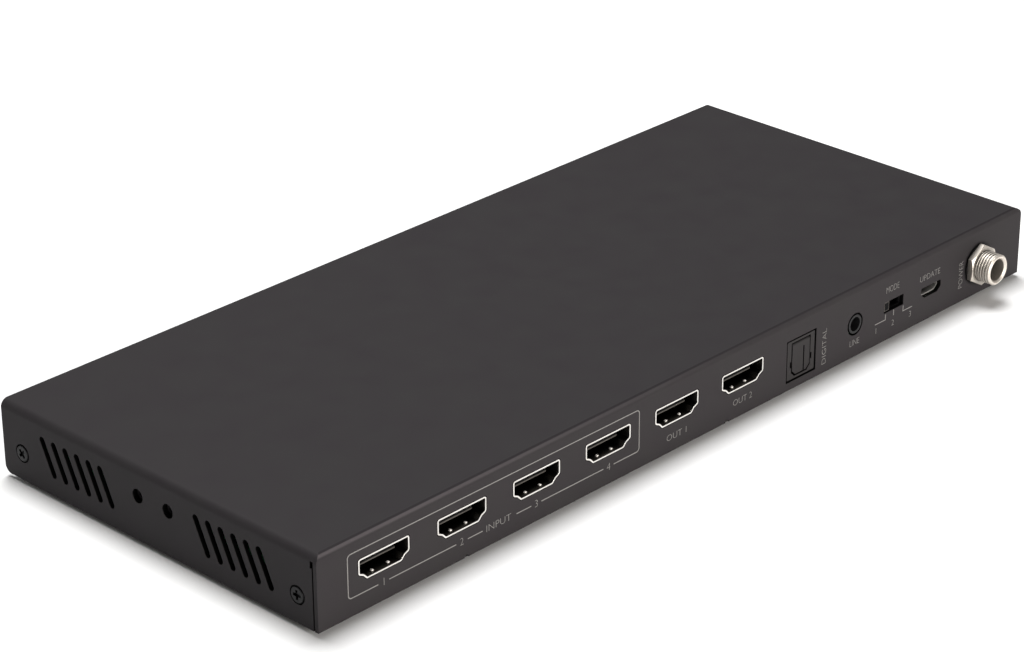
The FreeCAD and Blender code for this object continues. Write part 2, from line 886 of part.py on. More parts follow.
def audio_jack_body():
    half = jack_body_width / 2
    front = inner_rear_y - socket_clearance
    back = front - jack_body_depth
    top = jack_z + (jack_z - board_top_z)
    body = box(jack_x - half, jack_x + half, back, front, board_top_z, top)
    barrel = cylinder_y(jack_x, jack_z, jack_barrel_radius, front - sheet, rear_y)
    keep = box(jack_x - half, jack_x + half, back, rear_y, board_top_z, roof_z)
    outside = box(jack_x - half, jack_x + half, inner_rear_y, rear_y, floor_z, roof_z)
    barrel = barrel.common(keep.fuse(outside))
    bore = cylinder_y(jack_x, jack_z, jack_bore_radius, rear_y - jack_bore_length, rear_y + overshoot)
    return body.fuse(barrel).cut(bore).removeSplitter()


def audio_jack_contacts():
    solids = []
    half = jack_body_width / 2
    front = inner_rear_y - socket_clearance
    for side in (1, -1):
        for step in jack_contact_shares:
            y = front - jack_body_depth * step
            inner = jack_x + side * half
            outer = inner + side * jack_contact_thickness
            near = y - jack_contact_width / 2
            solids.append(box(inner, outer, near, near + jack_contact_width, board_top_z, jack_z))
    return Part.makeCompound(solids)


# Mode switch

def switch_travel():
    return switch_slot_width - switch_knob_width - 2 * switch_end_gap


def switch_knob_x():
    return switch_x + switch_travel() / 2


def mode_switch_frame():
    front = inner_rear_y - slide_clearance
    back = front - switch_body_depth
    half = switch_body_width / 2
    top = switch_z + switch_body_height / 2
    body = box(switch_x - half, switch_x + half, back, front, board_top_z, top)
    wall = switch_body_wall
    cavity_half_height = switch_carrier_height() / 2 + slide_clearance
    cavity_half = switch_carrier_width / 2 + switch_travel() / 2 + slide_clearance
    cavity_back = front - wall - switch_carrier_thickness - 2 * slide_clearance
    cavity = box(switch_x - cavity_half, switch_x + cavity_half, cavity_back, front - wall,
                 switch_z - cavity_half_height, switch_z + cavity_half_height)
    window_half = switch_knob_width / 2 + switch_travel() / 2 + slide_clearance
    window_rise = switch_knob_height / 2 + slide_clearance
    window = box(switch_x - window_half, switch_x + window_half, front - wall - overshoot, front + overshoot,
                 switch_z - window_rise, switch_z + window_rise)
    return body.cut([cavity, window]).removeSplitter()


def switch_carrier_height():
    return switch_knob_height + 2 * switch_body_wall


def mode_switch_slider():
    front = inner_rear_y - slide_clearance
    knob_front = rear_y - switch_knob_recess
    x = switch_knob_x()
    carrier_front = front - switch_body_wall - slide_clearance
    carrier_back = carrier_front - switch_carrier_thickness
    half = switch_carrier_width / 2
    rise = switch_carrier_height() / 2
    carrier = box(x - half, x + half, carrier_back, carrier_front, switch_z - rise, switch_z + rise)
    knob_corners = rectangle(x, switch_z, switch_knob_width, switch_knob_height)
    knob = prism("xz", carrier_front, knob_front, knob_corners, switch_knob_corner_radius)
    return carrier.fuse(knob).removeSplitter()


# Service socket

def service_front_y():
    return inner_rear_y - insert_fit


def service_shell():
    front = service_front_y()
    back = front - service_depth
    outline = grown(service_corners(), service_wall)
    outer = prism("xz", back, front, outline, service_corner_radius + service_wall / 2)
    inner = prism("xz", back + service_wall, front + overshoot, service_corners(), service_corner_radius)
    return outer.cut(inner)


def service_insert():
    front = service_front_y()
    back = front - service_depth + service_wall + insert_fit
    outline = grown(service_corners(), -insert_fit)
    block = prism("xz", back, back + service_tongue_recess, outline, service_corner_radius)
    half = service_tongue_width / 2
    top = service_z + service_opening_height / 2 - service_tongue_thickness
    tip = front - service_tongue_recess
    tongue = box(service_x - half, service_x + half, back, tip, top - service_tongue_thickness, top)
    return block.fuse(tongue).removeSplitter()


# DC power socket

def dc_back_y():
    return inner_rear_y - dc_body_depth


def dc_nut_front_y():
    return rear_y + dc_washer_thickness + dc_nut_thickness


def dc_jack_body():
    half = dc_body_size / 2
    outline = rectangle(dc_x, dc_z, dc_body_size, dc_body_size)
    block = prism("xz", dc_back_y(), inner_rear_y, outline, dc_body_corner_radius)
    block = block.fuse(board_ears(dc_x, half, dc_back_y()))
    flange = barrel_flange_radius + insert_fit
    seat = cylinder_y(dc_x, dc_z, flange, inner_rear_y - barrel_flange_thickness, inner_rear_y + overshoot)
    tube_back = barrel_back_y() - insert_fit
    tube = cylinder_y(dc_x, dc_z, barrel_radius + insert_fit, tube_back, inner_rear_y)
    pin_hole = cylinder_y(dc_x, dc_z, dc_pin_radius + press_fit_gap, dc_back_y() - overshoot, rear_y)
    return block.cut([seat, tube, pin_hole]).removeSplitter()


def barrel_back_y():
    return rear_y + barrel_projection - barrel_bore_depth


def dc_jack_barrel():
    end = rear_y + barrel_projection
    chamfer = barrel_rim_chamfer
    tube = cylinder_y(dc_x, dc_z, barrel_radius, barrel_back_y(), end - chamfer)
    rim_start = FreeCAD.Vector(dc_x, end - chamfer, dc_z)
    rim = Part.makeCone(barrel_radius, barrel_radius - chamfer, chamfer, rim_start, FreeCAD.Vector(0, 1, 0))
    flange_back = inner_rear_y - barrel_flange_thickness
    flange = cylinder_y(dc_x, dc_z, barrel_flange_radius, flange_back, inner_rear_y)
    bore = cylinder_y(dc_x, dc_z, barrel_bore_radius, barrel_back_y() - overshoot, end + overshoot)
    return tube.fuse([rim, flange]).cut(bore).removeSplitter()


def dc_jack_pin():
    tip_y = rear_y + barrel_projection - dc_pin_recess
    tip_height = dc_pin_radius / 2
    shaft = cylinder_y(dc_x, dc_z, dc_pin_radius, dc_back_y(), tip_y - tip_height)
    tip_start = FreeCAD.Vector(dc_x, tip_y - tip_height, dc_z)
    tip = Part.makeCone(dc_pin_radius, dc_pin_radius / 2, tip_height, tip_start, FreeCAD.Vector(0, 1, 0))
    return shaft.fuse(tip).removeSplitter()


def dc_jack_washer():
    bore = barrel_radius + dc_thread_fit
    return ring_y(dc_x, dc_z, dc_washer_radius, bore, rear_y, rear_y + dc_washer_thickness)


def dc_jack_nut():
    back = rear_y + dc_washer_thickness
    front = dc_nut_front_y()
    nut = prism("xz", back, front, hexagon(dc_x, dc_z, dc_nut_across_flats))
    corner = dc_nut_across_flats / 2 / math.cos(math.radians(30))
    straight = cylinder_y(dc_x, dc_z, corner, back, front - dc_nut_chamfer)
    cone_start = FreeCAD.Vector(dc_x, front - dc_nut_chamfer, dc_z)
    small = dc_nut_across_flats / 2 - dc_nut_chamfer / 4
    cone = Part.makeCone(corner, small, dc_nut_chamfer, cone_start, FreeCAD.Vector(0, 1, 0))
    nut = nut.common(straight.fuse(cone).removeSplitter())
    bore = cylinder_y(dc_x, dc_z, barrel_radius + dc_thread_fit, back - overshoot, front + overshoot)
    return nut.cut(bore)


# Front panel pieces

def button_face_y():
    return panel_back_y + button_flange_gap + button_flange_thickness


def switch_front_y():
    return panel_back_y + switch_face_gap


# The cap's side view, revolved about its own axis: crowned face, rounded edge, flange and boss
def button_cap(index):
    x = station_x(index)
    face = panel_y - button_projection
    crown_y = face + button_crown
    edge_r = button_radius - button_edge_radius
    flange_y = panel_back_y + button_flange_gap
    boss_y = switch_front_y() - plunger_reach
    crown_radius = (edge_r ** 2 + button_crown ** 2) / (2 * button_crown)
    crown_angle = math.asin(edge_r / crown_radius) / 2
    middle_r = crown_radius * math.sin(crown_angle)
    middle_y_crown = face + crown_radius * (1 - math.cos(crown_angle))
    start = FreeCAD.Vector(0, face, 0)
    edge = FreeCAD.Vector(edge_r, crown_y, 0)
    arc = Part.Arc(start, FreeCAD.Vector(middle_r, middle_y_crown, 0), edge).toShape()
    round_middle = FreeCAD.Vector(edge_r + button_edge_radius * 0.75, crown_y + button_edge_radius * 0.3, 0)
    side = FreeCAD.Vector(button_radius, crown_y + button_edge_radius, 0)
    round_edge = Part.Arc(edge, round_middle, side).toShape()
    flange_corners = [(button_radius, flange_y), (button_flange_radius, flange_y)]
    back_corners = [(button_flange_radius, button_face_y()), (button_boss_radius, button_face_y())]
    corners = flange_corners + back_corners + [(button_boss_radius, boss_y), (0, boss_y)]
    points = [side] + [FreeCAD.Vector(radius, y, 0) for radius, y in corners] + [start]
    wire = Part.Wire([arc, round_edge] + Part.makePolygon(points).Edges)
    solid = Part.Face(wire).revolve(FreeCAD.Vector(0, 0, 0), FreeCAD.Vector(0, 1, 0), 360)
    solid.translate(FreeCAD.Vector(x, 0, button_z))
    return solid


def button_plunger(index):
    front = switch_front_y() - plunger_reach
    back = switch_front_y() + plunger_depth - button_travel - plunger_clearance
    return cylinder_y(station_x(index), button_z, plunger_radius, front, back)


def push_switches():
    solids = []
    half = push_switch_width / 2
    front = switch_front_y()
    back = front + push_switch_depth
    for index in button_index.values():
        x = station_x(index)
        body = box(x - half, x + half, front, back, button_z - half, button_z + half)
        legs = []
        for side in (1, -1):
            outer = x + side * half
            legs.append(box(outer, outer - side * push_switch_leg, front, back, board_top_z, button_z))
        well_radius = plunger_radius + plunger_clearance
        well = cylinder_y(x, button_z, well_radius, front - overshoot, front + plunger_depth)
        solids.append(body.fuse(legs).cut(well).removeSplitter())
    return Part.makeCompound(solids)


def indicator_lights():
    solids = []
    places = [station_x(index) for index in light_index] + [power_light_x]
    for x in places:
        half = light_body_width / 2
        body_front = board_front_y
        body_back = body_front + light_body_depth
        body = box(x - half, x + half, body_front, body_back, board_top_z, board_top_z + light_body_height)
        nose = cylinder_y(x, light_z, light_nose_radius, panel_y + light_nose_recess, body_front)
        solids.append(body.fuse(nose).removeSplitter())
    return Part.makeCompound(solids)


# Infra-red receiver

def ir_window_corners():
    half = ir_window_width / 2
    top = floor_z + ir_window_top
    bottom = floor_z + ir_window_bottom
    return [(ir_x + half, top), (ir_x - half, top), (ir_x - half, bottom), (ir_x + half, bottom)]


def ir_window_radii():
    arch = ir_window_width * ir_arch_share
    return [arch, arch, ir_window_corner_radius, ir_window_corner_radius]


def ir_shield_front_y():
    return panel_back_y + ir_shield_setback


def ir_shield():
    front = ir_shield_front_y()
    wall = ir_shield_wall
    back = front + wall + ir_body_depth + ir_dome_radius + insert_fit
    half = ir_shield_width / 2
    top = floor_z + ir_window_top + wall
    block = box(ir_x - half, ir_x + half, front, back, board_top_z, top)
    low = board_top_z - overshoot
    inner_half = half - wall
    hollow = box(ir_x - inner_half, ir_x + inner_half, front + wall, back + overshoot, low, top - wall)
    mouth_half = ir_window_width / 2 - wall
    mouth_back = front + wall + overshoot
    mouth = box(ir_x - mouth_half, ir_x + mouth_half, front - overshoot, mouth_back, low, top - 2 * wall)
    shield = block.cut([hollow, mouth])
    bars = []
    bar_top = floor_z + ir_window_top - ir_bar_top_drop
    bar_bottom = floor_z + ir_window_bottom - wall
    for side in (1, -1):
        centre = ir_x + ir_bar_shift + side * ir_bar_spacing / 2
        edge = centre - ir_bar_width / 2
        bars.append(box(edge, edge + ir_bar_width, front, front + wall, bar_bottom, bar_top))
    low = ir_x - mouth_half - wall
    high = ir_x + mouth_half + wall
    bars.append(box(low, high, front, front + wall, bar_top, bar_top + ir_bar_width))
    return shield.fuse(bars).removeSplitter()


def ir_receiver():
    wall = ir_shield_wall + insert_fit
    front = ir_shield_front_y() + wall + ir_dome_radius
    half = ir_shield_width / 2 - wall
    top = floor_z + ir_window_top - insert_fit
    body = box(ir_x - half, ir_x + half, front, front + ir_body_depth, board_top_z, top)
    dome_z = (board_top_z + top) / 2
    dome = Part.makeSphere(ir_dome_radius, FreeCAD.Vector(ir_x, front, dome_z))
    return body.fuse(dome).removeSplitter()


# Chips and power parts

def chip(x, y, size_x, size_y, thickness):
    corners = [(x + size_x / 2, y + size_y / 2), (x - size_x / 2, y + size_y / 2),
               (x - size_x / 2, y - size_y / 2), (x + size_x / 2, y - size_y / 2)]
    return prism("xy", board_top_z, board_top_z + thickness, corners, chip_corner_radius)


def matrix_chip():
    return chip(matrix_chip_x, matrix_chip_y, matrix_chip_size, matrix_chip_size, chip_thickness)


def thermal_pad():
    pad = chip(matrix_chip_x, matrix_chip_y, matrix_chip_size, matrix_chip_size, thermal_pad_thickness)
    pad.translate(FreeCAD.Vector(0, 0, chip_thickness))
    return pad


def heat_sink():
    half = heat_sink_size / 2
    low = board_top_z + chip_thickness + thermal_pad_thickness
    top = low + heat_sink_base
    x = matrix_chip_x
    y = matrix_chip_y
    plate = box(x - half, x + half, y - half, y + half, low, top)
    pitch = (heat_sink_size - heat_sink_fin_thickness) / (heat_sink_fins - 1)
    fins = []
    tip = low + heat_sink_height
    for index in range(heat_sink_fins):
        start = x - half + pitch * index
        end = start + heat_sink_fin_thickness
        fins.append(box(start, end, y - half, y + half, top, tip))
    return plate.fuse(fins).removeSplitter()


def video_chips():
    size = video_chip_size
    return Part.makeCompound([chip(x, video_chip_y, size, size, chip_thickness) for x in video_chip_x])


def port_chips():
    y = rear_y - port_chip_setback
    chips = []
    for index in range(len(video_names)):
        chips.append(chip(video_x(index), y, port_chip_width, port_chip_length, port_chip_thickness))
    return Part.makeCompound(chips)


def power_inductors():
    size = inductor_size
    return Part.makeCompound([chip(x, inductor_y, size, size, inductor_height) for x in inductor_x])


def power_capacitors():
    cans = []
    top = board_top_z + capacitor_height
    for x in capacitor_x:
        cans.append(cylinder_z(x, capacitor_y, capacitor_radius, board_top_z, top))
    return Part.makeCompound(cans)


pieces = {
    "top_cover": top_cover(),
    "base_chassis": base_chassis(),
    "side_screws": side_screws(),
    "main_board": main_board(),
    "board_standoffs": board_standoffs(),
    "board_screws": board_screws(),
    "optical_housing": optical_housing(),
    "optical_shutter": optical_shutter(),
    "optical_shutter_pin": optical_shutter_pin(),
    "optical_emitter": optical_emitter(),
    "audio_jack_body": audio_jack_body(),
    "audio_jack_contacts": audio_jack_contacts(),
    "mode_switch_frame": mode_switch_frame(),
    "mode_switch_slider": mode_switch_slider(),
    "service_shell": service_shell(),
    "service_insert": service_insert(),
    "dc_jack_body": dc_jack_body(),
    "dc_jack_barrel": dc_jack_barrel(),
    "dc_jack_pin": dc_jack_pin(),
    "dc_jack_washer": dc_jack_washer(),
    "dc_jack_nut": dc_jack_nut(),
    "push_switches": push_switches(),
    "indicator_lights": indicator_lights(),
    "ir_receiver": ir_receiver(),
    "ir_shield": ir_shield(),
    "matrix_chip": matrix_chip(),
    "thermal_pad": thermal_pad(),
    "heat_sink": heat_sink(),
    "video_chips": video_chips(),
    "port_chips": port_chips(),
    "power_inductors": power_inductors(),
    "power_capacitors": power_capacitors(),
}
feet = (("rear_right", 1, 1), ("rear_left", -1, 1), ("front_right", 1, -1), ("front_left", -1, -1))
for corner_name, side_x, side_y in feet:
    foot_x = side_x * (half_width - foot_inset_x)
    foot_y = middle_y + side_y * (case_depth / 2 - foot_inset_y)
    pieces["foot_" + corner_name] = foot(foot_x, foot_y)
for socket_index, socket_name in enumerate(video_names):
    pieces[socket_name + "_shell"] = video_shell(socket_index)
    pieces[socket_name + "_insert"] = video_insert(socket_index)
for button_name, place_index in button_index.items():
    pieces["button_" + button_name] = button_cap(place_index)
    pieces["plunger_" + button_name] = button_plunger(place_index)

os.makedirs("parts", exist_ok=True)
for piece_name, piece in pieces.items():
    piece.exportStep("parts/" + piece_name + ".step")
    print(piece_name, len(piece.Solids), "valid", piece.isValid(), "volume", round(piece.Volume, 2))
print("switch travel", round(switch_travel(), 3), "shutter axis", shutter_axis())
print("pieces", len(pieces))
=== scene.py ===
import math

import bpy
import numpy as np
from mathutils import Matrix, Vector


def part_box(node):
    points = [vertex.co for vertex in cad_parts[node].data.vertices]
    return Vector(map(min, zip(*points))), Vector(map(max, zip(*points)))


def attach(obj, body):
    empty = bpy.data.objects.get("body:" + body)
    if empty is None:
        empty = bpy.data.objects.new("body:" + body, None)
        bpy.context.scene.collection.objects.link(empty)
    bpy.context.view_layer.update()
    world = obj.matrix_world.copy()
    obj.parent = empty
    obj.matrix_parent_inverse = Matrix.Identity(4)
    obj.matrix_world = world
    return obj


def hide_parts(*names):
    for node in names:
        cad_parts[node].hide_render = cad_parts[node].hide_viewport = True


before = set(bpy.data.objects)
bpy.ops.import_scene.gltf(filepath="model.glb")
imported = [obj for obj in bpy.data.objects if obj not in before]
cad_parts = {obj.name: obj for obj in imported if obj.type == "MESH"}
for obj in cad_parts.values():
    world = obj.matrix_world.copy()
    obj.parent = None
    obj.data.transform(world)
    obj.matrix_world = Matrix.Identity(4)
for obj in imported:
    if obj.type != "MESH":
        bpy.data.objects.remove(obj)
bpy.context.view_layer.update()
mm = 0.001
caseLow, caseHigh = (np.array(corner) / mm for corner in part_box("top_cover"))
rearY = caseHigh[1]
floorZ = caseLow[2]
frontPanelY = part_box("base_chassis")[0][1] / mm
print("frame loaded")


# sRGB hex to the linear values that Blender's sockets take
def linear(hexColour):
    parts = np.array([int(hexColour[i:i + 2], 16) for i in (1, 3, 5)]) / 255
    values = np.where(parts <= 0.04045, parts / 12.92, ((parts + 0.055) / 1.055) ** 2.4)
    return (*values.tolist(), 1.0)


# A pattern's scale from its real size in millimetres, on coordinates in metres
def repeats(sizeMm):
    return 1000.0 / sizeMm


# Adds one node with its settings and its links
def addNode(tree, kind, settings=None, links=None):
    node = tree.nodes.new(kind)
    for key, value in (settings or {}).items():
        if key in node.inputs:
            node.inputs[key].default_value = value
        else:
            setattr(node, key, value)
    for key, source in (links or {}).items():
        tree.links.new(source, node.inputs[key])
    return node


# Mixes a colour over another where the mask is 1
def overlay(tree, under, hexColour, mask):
    mix = addNode(tree, "ShaderNodeMix", {"data_type": "RGBA"}, {"Factor": mask})
    tree.links.new(under, mix.inputs[6])
    mix.inputs[7].default_value = linear(hexColour)
    return mix.outputs[2]


# 1 along the edges, where a rounded normal leaves the true one: the dot product of the two falls from 1
# on a flat face to about 0.7 on a square edge, and the pale edge, part wear and part painted highlight, is
# full below one bound, gone above the other
edgeWearHighlight = {"samples": 6, "full": 0.8, "gone": 0.98}


def wornHighlitEdge(tree, reach):
    rounded = addNode(tree, "ShaderNodeBevel", {"samples": edgeWearHighlight["samples"], "Radius": reach * mm})
    true = addNode(tree, "ShaderNodeNewGeometry")
    between = addNode(tree, "ShaderNodeVectorMath", {"operation": "DOT_PRODUCT"},
                      {0: rounded.outputs["Normal"], 1: true.outputs["True Normal"]})
    mask = addNode(tree, "ShaderNodeMapRange", {
        "From Min": edgeWearHighlight["full"], "From Max": edgeWearHighlight["gone"], "To Min": 1.0, "To Max": 0.0},
        {"Value": between.outputs["Value"]})
    return mask.outputs["Result"]


# 1 where a value lies between two bounds, with soft shoulders: a rising ramp times a falling one
def window(tree, value, low, high, soft):
    rise = addNode(tree, "ShaderNodeMapRange", {"From Min": low, "From Max": low + soft}, {"Value": value})
    fall = addNode(tree, "ShaderNodeMapRange", {
        "From Min": high - soft, "From Max": high, "To Min": 1.0, "To Max": 0.0}, {"Value": value})
    both = addNode(tree, "ShaderNodeMath", {"operation": "MULTIPLY"},
                   {0: rise.outputs["Result"], 1: fall.outputs["Result"]})
    return both.outputs["Value"]


# Two painted lines along the bend over the sockets, told by how far its faces lean rearward: a painted
# shade beside the roof, and a painted highlight further round, which fades along x between two places in
# millimetres.
# Each line has a low and a high bound on the normal's y, and the width of its soft shoulders.
bend = {"bendShade": (0.04, 0.56, 0.1), "bendHighlight": (0.5, 0.97, 0.14)}


def paintedBendLines(tree, place, start, end):
    facing = addNode(tree, "ShaderNodeNewGeometry")
    turned = addNode(tree, "ShaderNodeSeparateXYZ", None, {"Vector": facing.outputs["Normal"]})
    along = addNode(tree, "ShaderNodeSeparateXYZ", None, {"Vector": place.outputs["Object"]})
    fade = addNode(tree, "ShaderNodeMapRange", {"From Min": end * mm, "From Max": start * mm},
                   {"Value": along.outputs["X"]})
    crest = window(tree, turned.outputs["Y"], *bend["bendHighlight"])
    bendHighlight = addNode(tree, "ShaderNodeMath", {"operation": "MULTIPLY"},
                     {0: crest, 1: fade.outputs["Result"]})
    return window(tree, turned.outputs["Y"], *bend["bendShade"]), bendHighlight.outputs["Value"]


# 1 behind the outer skin of the cover, on cut edges and inner faces, which take a near-black painted shade:
# the skin is a box with rounded edges, open downwards, the places whose distance from a smaller box is the
# radius, and the mask rises between two depths below it
skin = {"radius": 2.0, "from": 0.04, "to": 0.14, "open": 100.0}


def shadeBehindSkin(tree, place):
    low, high = caseLow - [0, 0, skin["open"]], caseHigh
    radius = skin["radius"] * mm
    flat = (high - low) / 2 * mm - radius
    moved = addNode(tree, "ShaderNodeVectorMath", {"operation": "SUBTRACT"}, {0: place.outputs["Object"]})
    moved.inputs[1].default_value = (low + high) / 2 * mm
    folded = addNode(tree, "ShaderNodeVectorMath", {"operation": "ABSOLUTE"}, {0: moved.outputs["Vector"]})
    beyond = addNode(tree, "ShaderNodeVectorMath", {"operation": "SUBTRACT"}, {0: folded.outputs["Vector"]})
    beyond.inputs[1].default_value = flat
    kept = addNode(tree, "ShaderNodeVectorMath", {"operation": "MAXIMUM"}, {0: beyond.outputs["Vector"]})
    reach = addNode(tree, "ShaderNodeVectorMath", {"operation": "LENGTH"}, {0: kept.outputs["Vector"]})
    mask = addNode(tree, "ShaderNodeMapRange", {
        "From Min": radius - skin["to"] * mm, "From Max": radius - skin["from"] * mm,
        "To Min": 1.0, "To Max": 0.0}, {"Value": reach.outputs["Value"]})
    return mask.outputs["Result"]


# Every finish has the same make-up: two close colours mixed in soft patches, a roughness that wanders
# with the patches, a fine relief, and rounded edges that catch the light; some also carry painted shade, a
# painted highlight, or pale edges that are part wear and part painted highlight.
# stretch pulls the patches and the relief out along an axis, as drawn or brushed metal has them.
# The shade reach, in millimetres, is how far corners and hollows are sought: within it the colour is
# darkened, a painted shade.
# patchSpread is the part of the noise's range over which the first colour gives way to the second.
patchSpread = {"From Min": 0.3, "From Max": 0.7}


def makeFinish(name, look):
    material = bpy.data.materials.new(name)
    material.use_nodes = True
    tree = material.node_tree
    tree.nodes.clear()
    output = addNode(tree, "ShaderNodeOutputMaterial")
    place = addNode(tree, "ShaderNodeTexCoord")
    stretched = addNode(tree, "ShaderNodeMapping", {"Scale": look.get("stretch", (1, 1, 1))},
                        {"Vector": place.outputs["Object"]})
    patches = addNode(tree, "ShaderNodeTexNoise", {"Scale": repeats(look["patch"]), "Detail": 3.0},
                      {"Vector": stretched.outputs["Vector"]})
    tone = addNode(tree, "ShaderNodeMapRange", patchSpread, {"Value": patches.outputs["Fac"]})
    colour = addNode(tree, "ShaderNodeMix", {"data_type": "RGBA"}, {"Factor": tone.outputs["Result"]})
    colour.inputs[6].default_value = linear(look["colour"])
    colour.inputs[7].default_value = linear(look["second"])
    colourOut = colour.outputs[2]
    # a painted highlight and a painted shade along the rear bend
    if look.get("bendHighlight"):
        bendShade, bendHighlight = paintedBendLines(tree, place, look["bendHighlightFrom"], look["bendHighlightTo"])
        colourOut = overlay(tree, colourOut, look["bendShade"], bendShade)
        colourOut = overlay(tree, colourOut, look["bendHighlight"], bendHighlight)
    # pale edges: part wear, part painted highlight
    if look.get("wornHighlight"):
        colourOut = overlay(tree, colourOut, look["wornHighlight"], wornHighlitEdge(tree, look["wornReach"]))
    # painted shade: the cover's cut edges and inner faces are painted near black
    if look.get("cutShade"):
        colourOut = overlay(tree, colourOut, look["cutShade"], shadeBehindSkin(tree, place))
    # painted shade: the colour is darkened wherever the ambient-occlusion node finds surfaces close by
    if look.get("paintedShade"):
        openness = addNode(tree, "ShaderNodeAmbientOcclusion",
                           {"samples": 6, "Distance": look["paintedShade"] * mm})
        depth = addNode(tree, "ShaderNodeMath", {"operation": "POWER"}, {0: openness.outputs["AO"]})
        depth.inputs[1].default_value = look.get("paintedShadeDepth", 1.0)
        paintedShadeMix = addNode(tree, "ShaderNodeMix", {"data_type": "RGBA", "blend_type": "MULTIPLY"})
        paintedShadeMix.inputs[0].default_value = 1.0
        tree.links.new(colourOut, paintedShadeMix.inputs[6])
        tree.links.new(depth.outputs["Value"], paintedShadeMix.inputs[7])
        colourOut = paintedShadeMix.outputs[2]
    rough = addNode(tree, "ShaderNodeMapRange",
                    {**patchSpread, "To Min": look["rough"][0], "To Max": look["rough"][1]},
                    {"Value": patches.outputs["Fac"]})
    relief = addNode(tree, "ShaderNodeTexNoise", {"Scale": repeats(look["grain"]), "Detail": 2.0},
                     {"Vector": stretched.outputs["Vector"]})
    bump = addNode(tree, "ShaderNodeBump", {"Strength": 1.0, "Distance": look["grainHeight"] * mm},
                   {"Height": relief.outputs["Fac"]})
    if look.get("edge"):
        edge = addNode(tree, "ShaderNodeBevel", {"samples": 4, "Radius": look["edge"] * mm})
        tree.links.new(edge.outputs["Normal"], bump.inputs["Normal"])
    shader = addNode(tree, "ShaderNodeBsdfPrincipled", {
        "Metallic": look.get("metallic", 0.0), "IOR": look.get("ior", 1.5),
        "Specular IOR Level": look.get("specular", 0.5), "Coat Weight": look.get("coat", 0.0),
        "Coat Roughness": look.get("coatRough", 0.1), "Sheen Weight": look.get("sheen", 0.0)}, {
        "Base Color": colourOut, "Roughness": rough.outputs["Result"], "Normal": bump.outputs["Normal"]})
    tree.links.new(shader.outputs["BSDF"], output.inputs["Surface"])
    return material
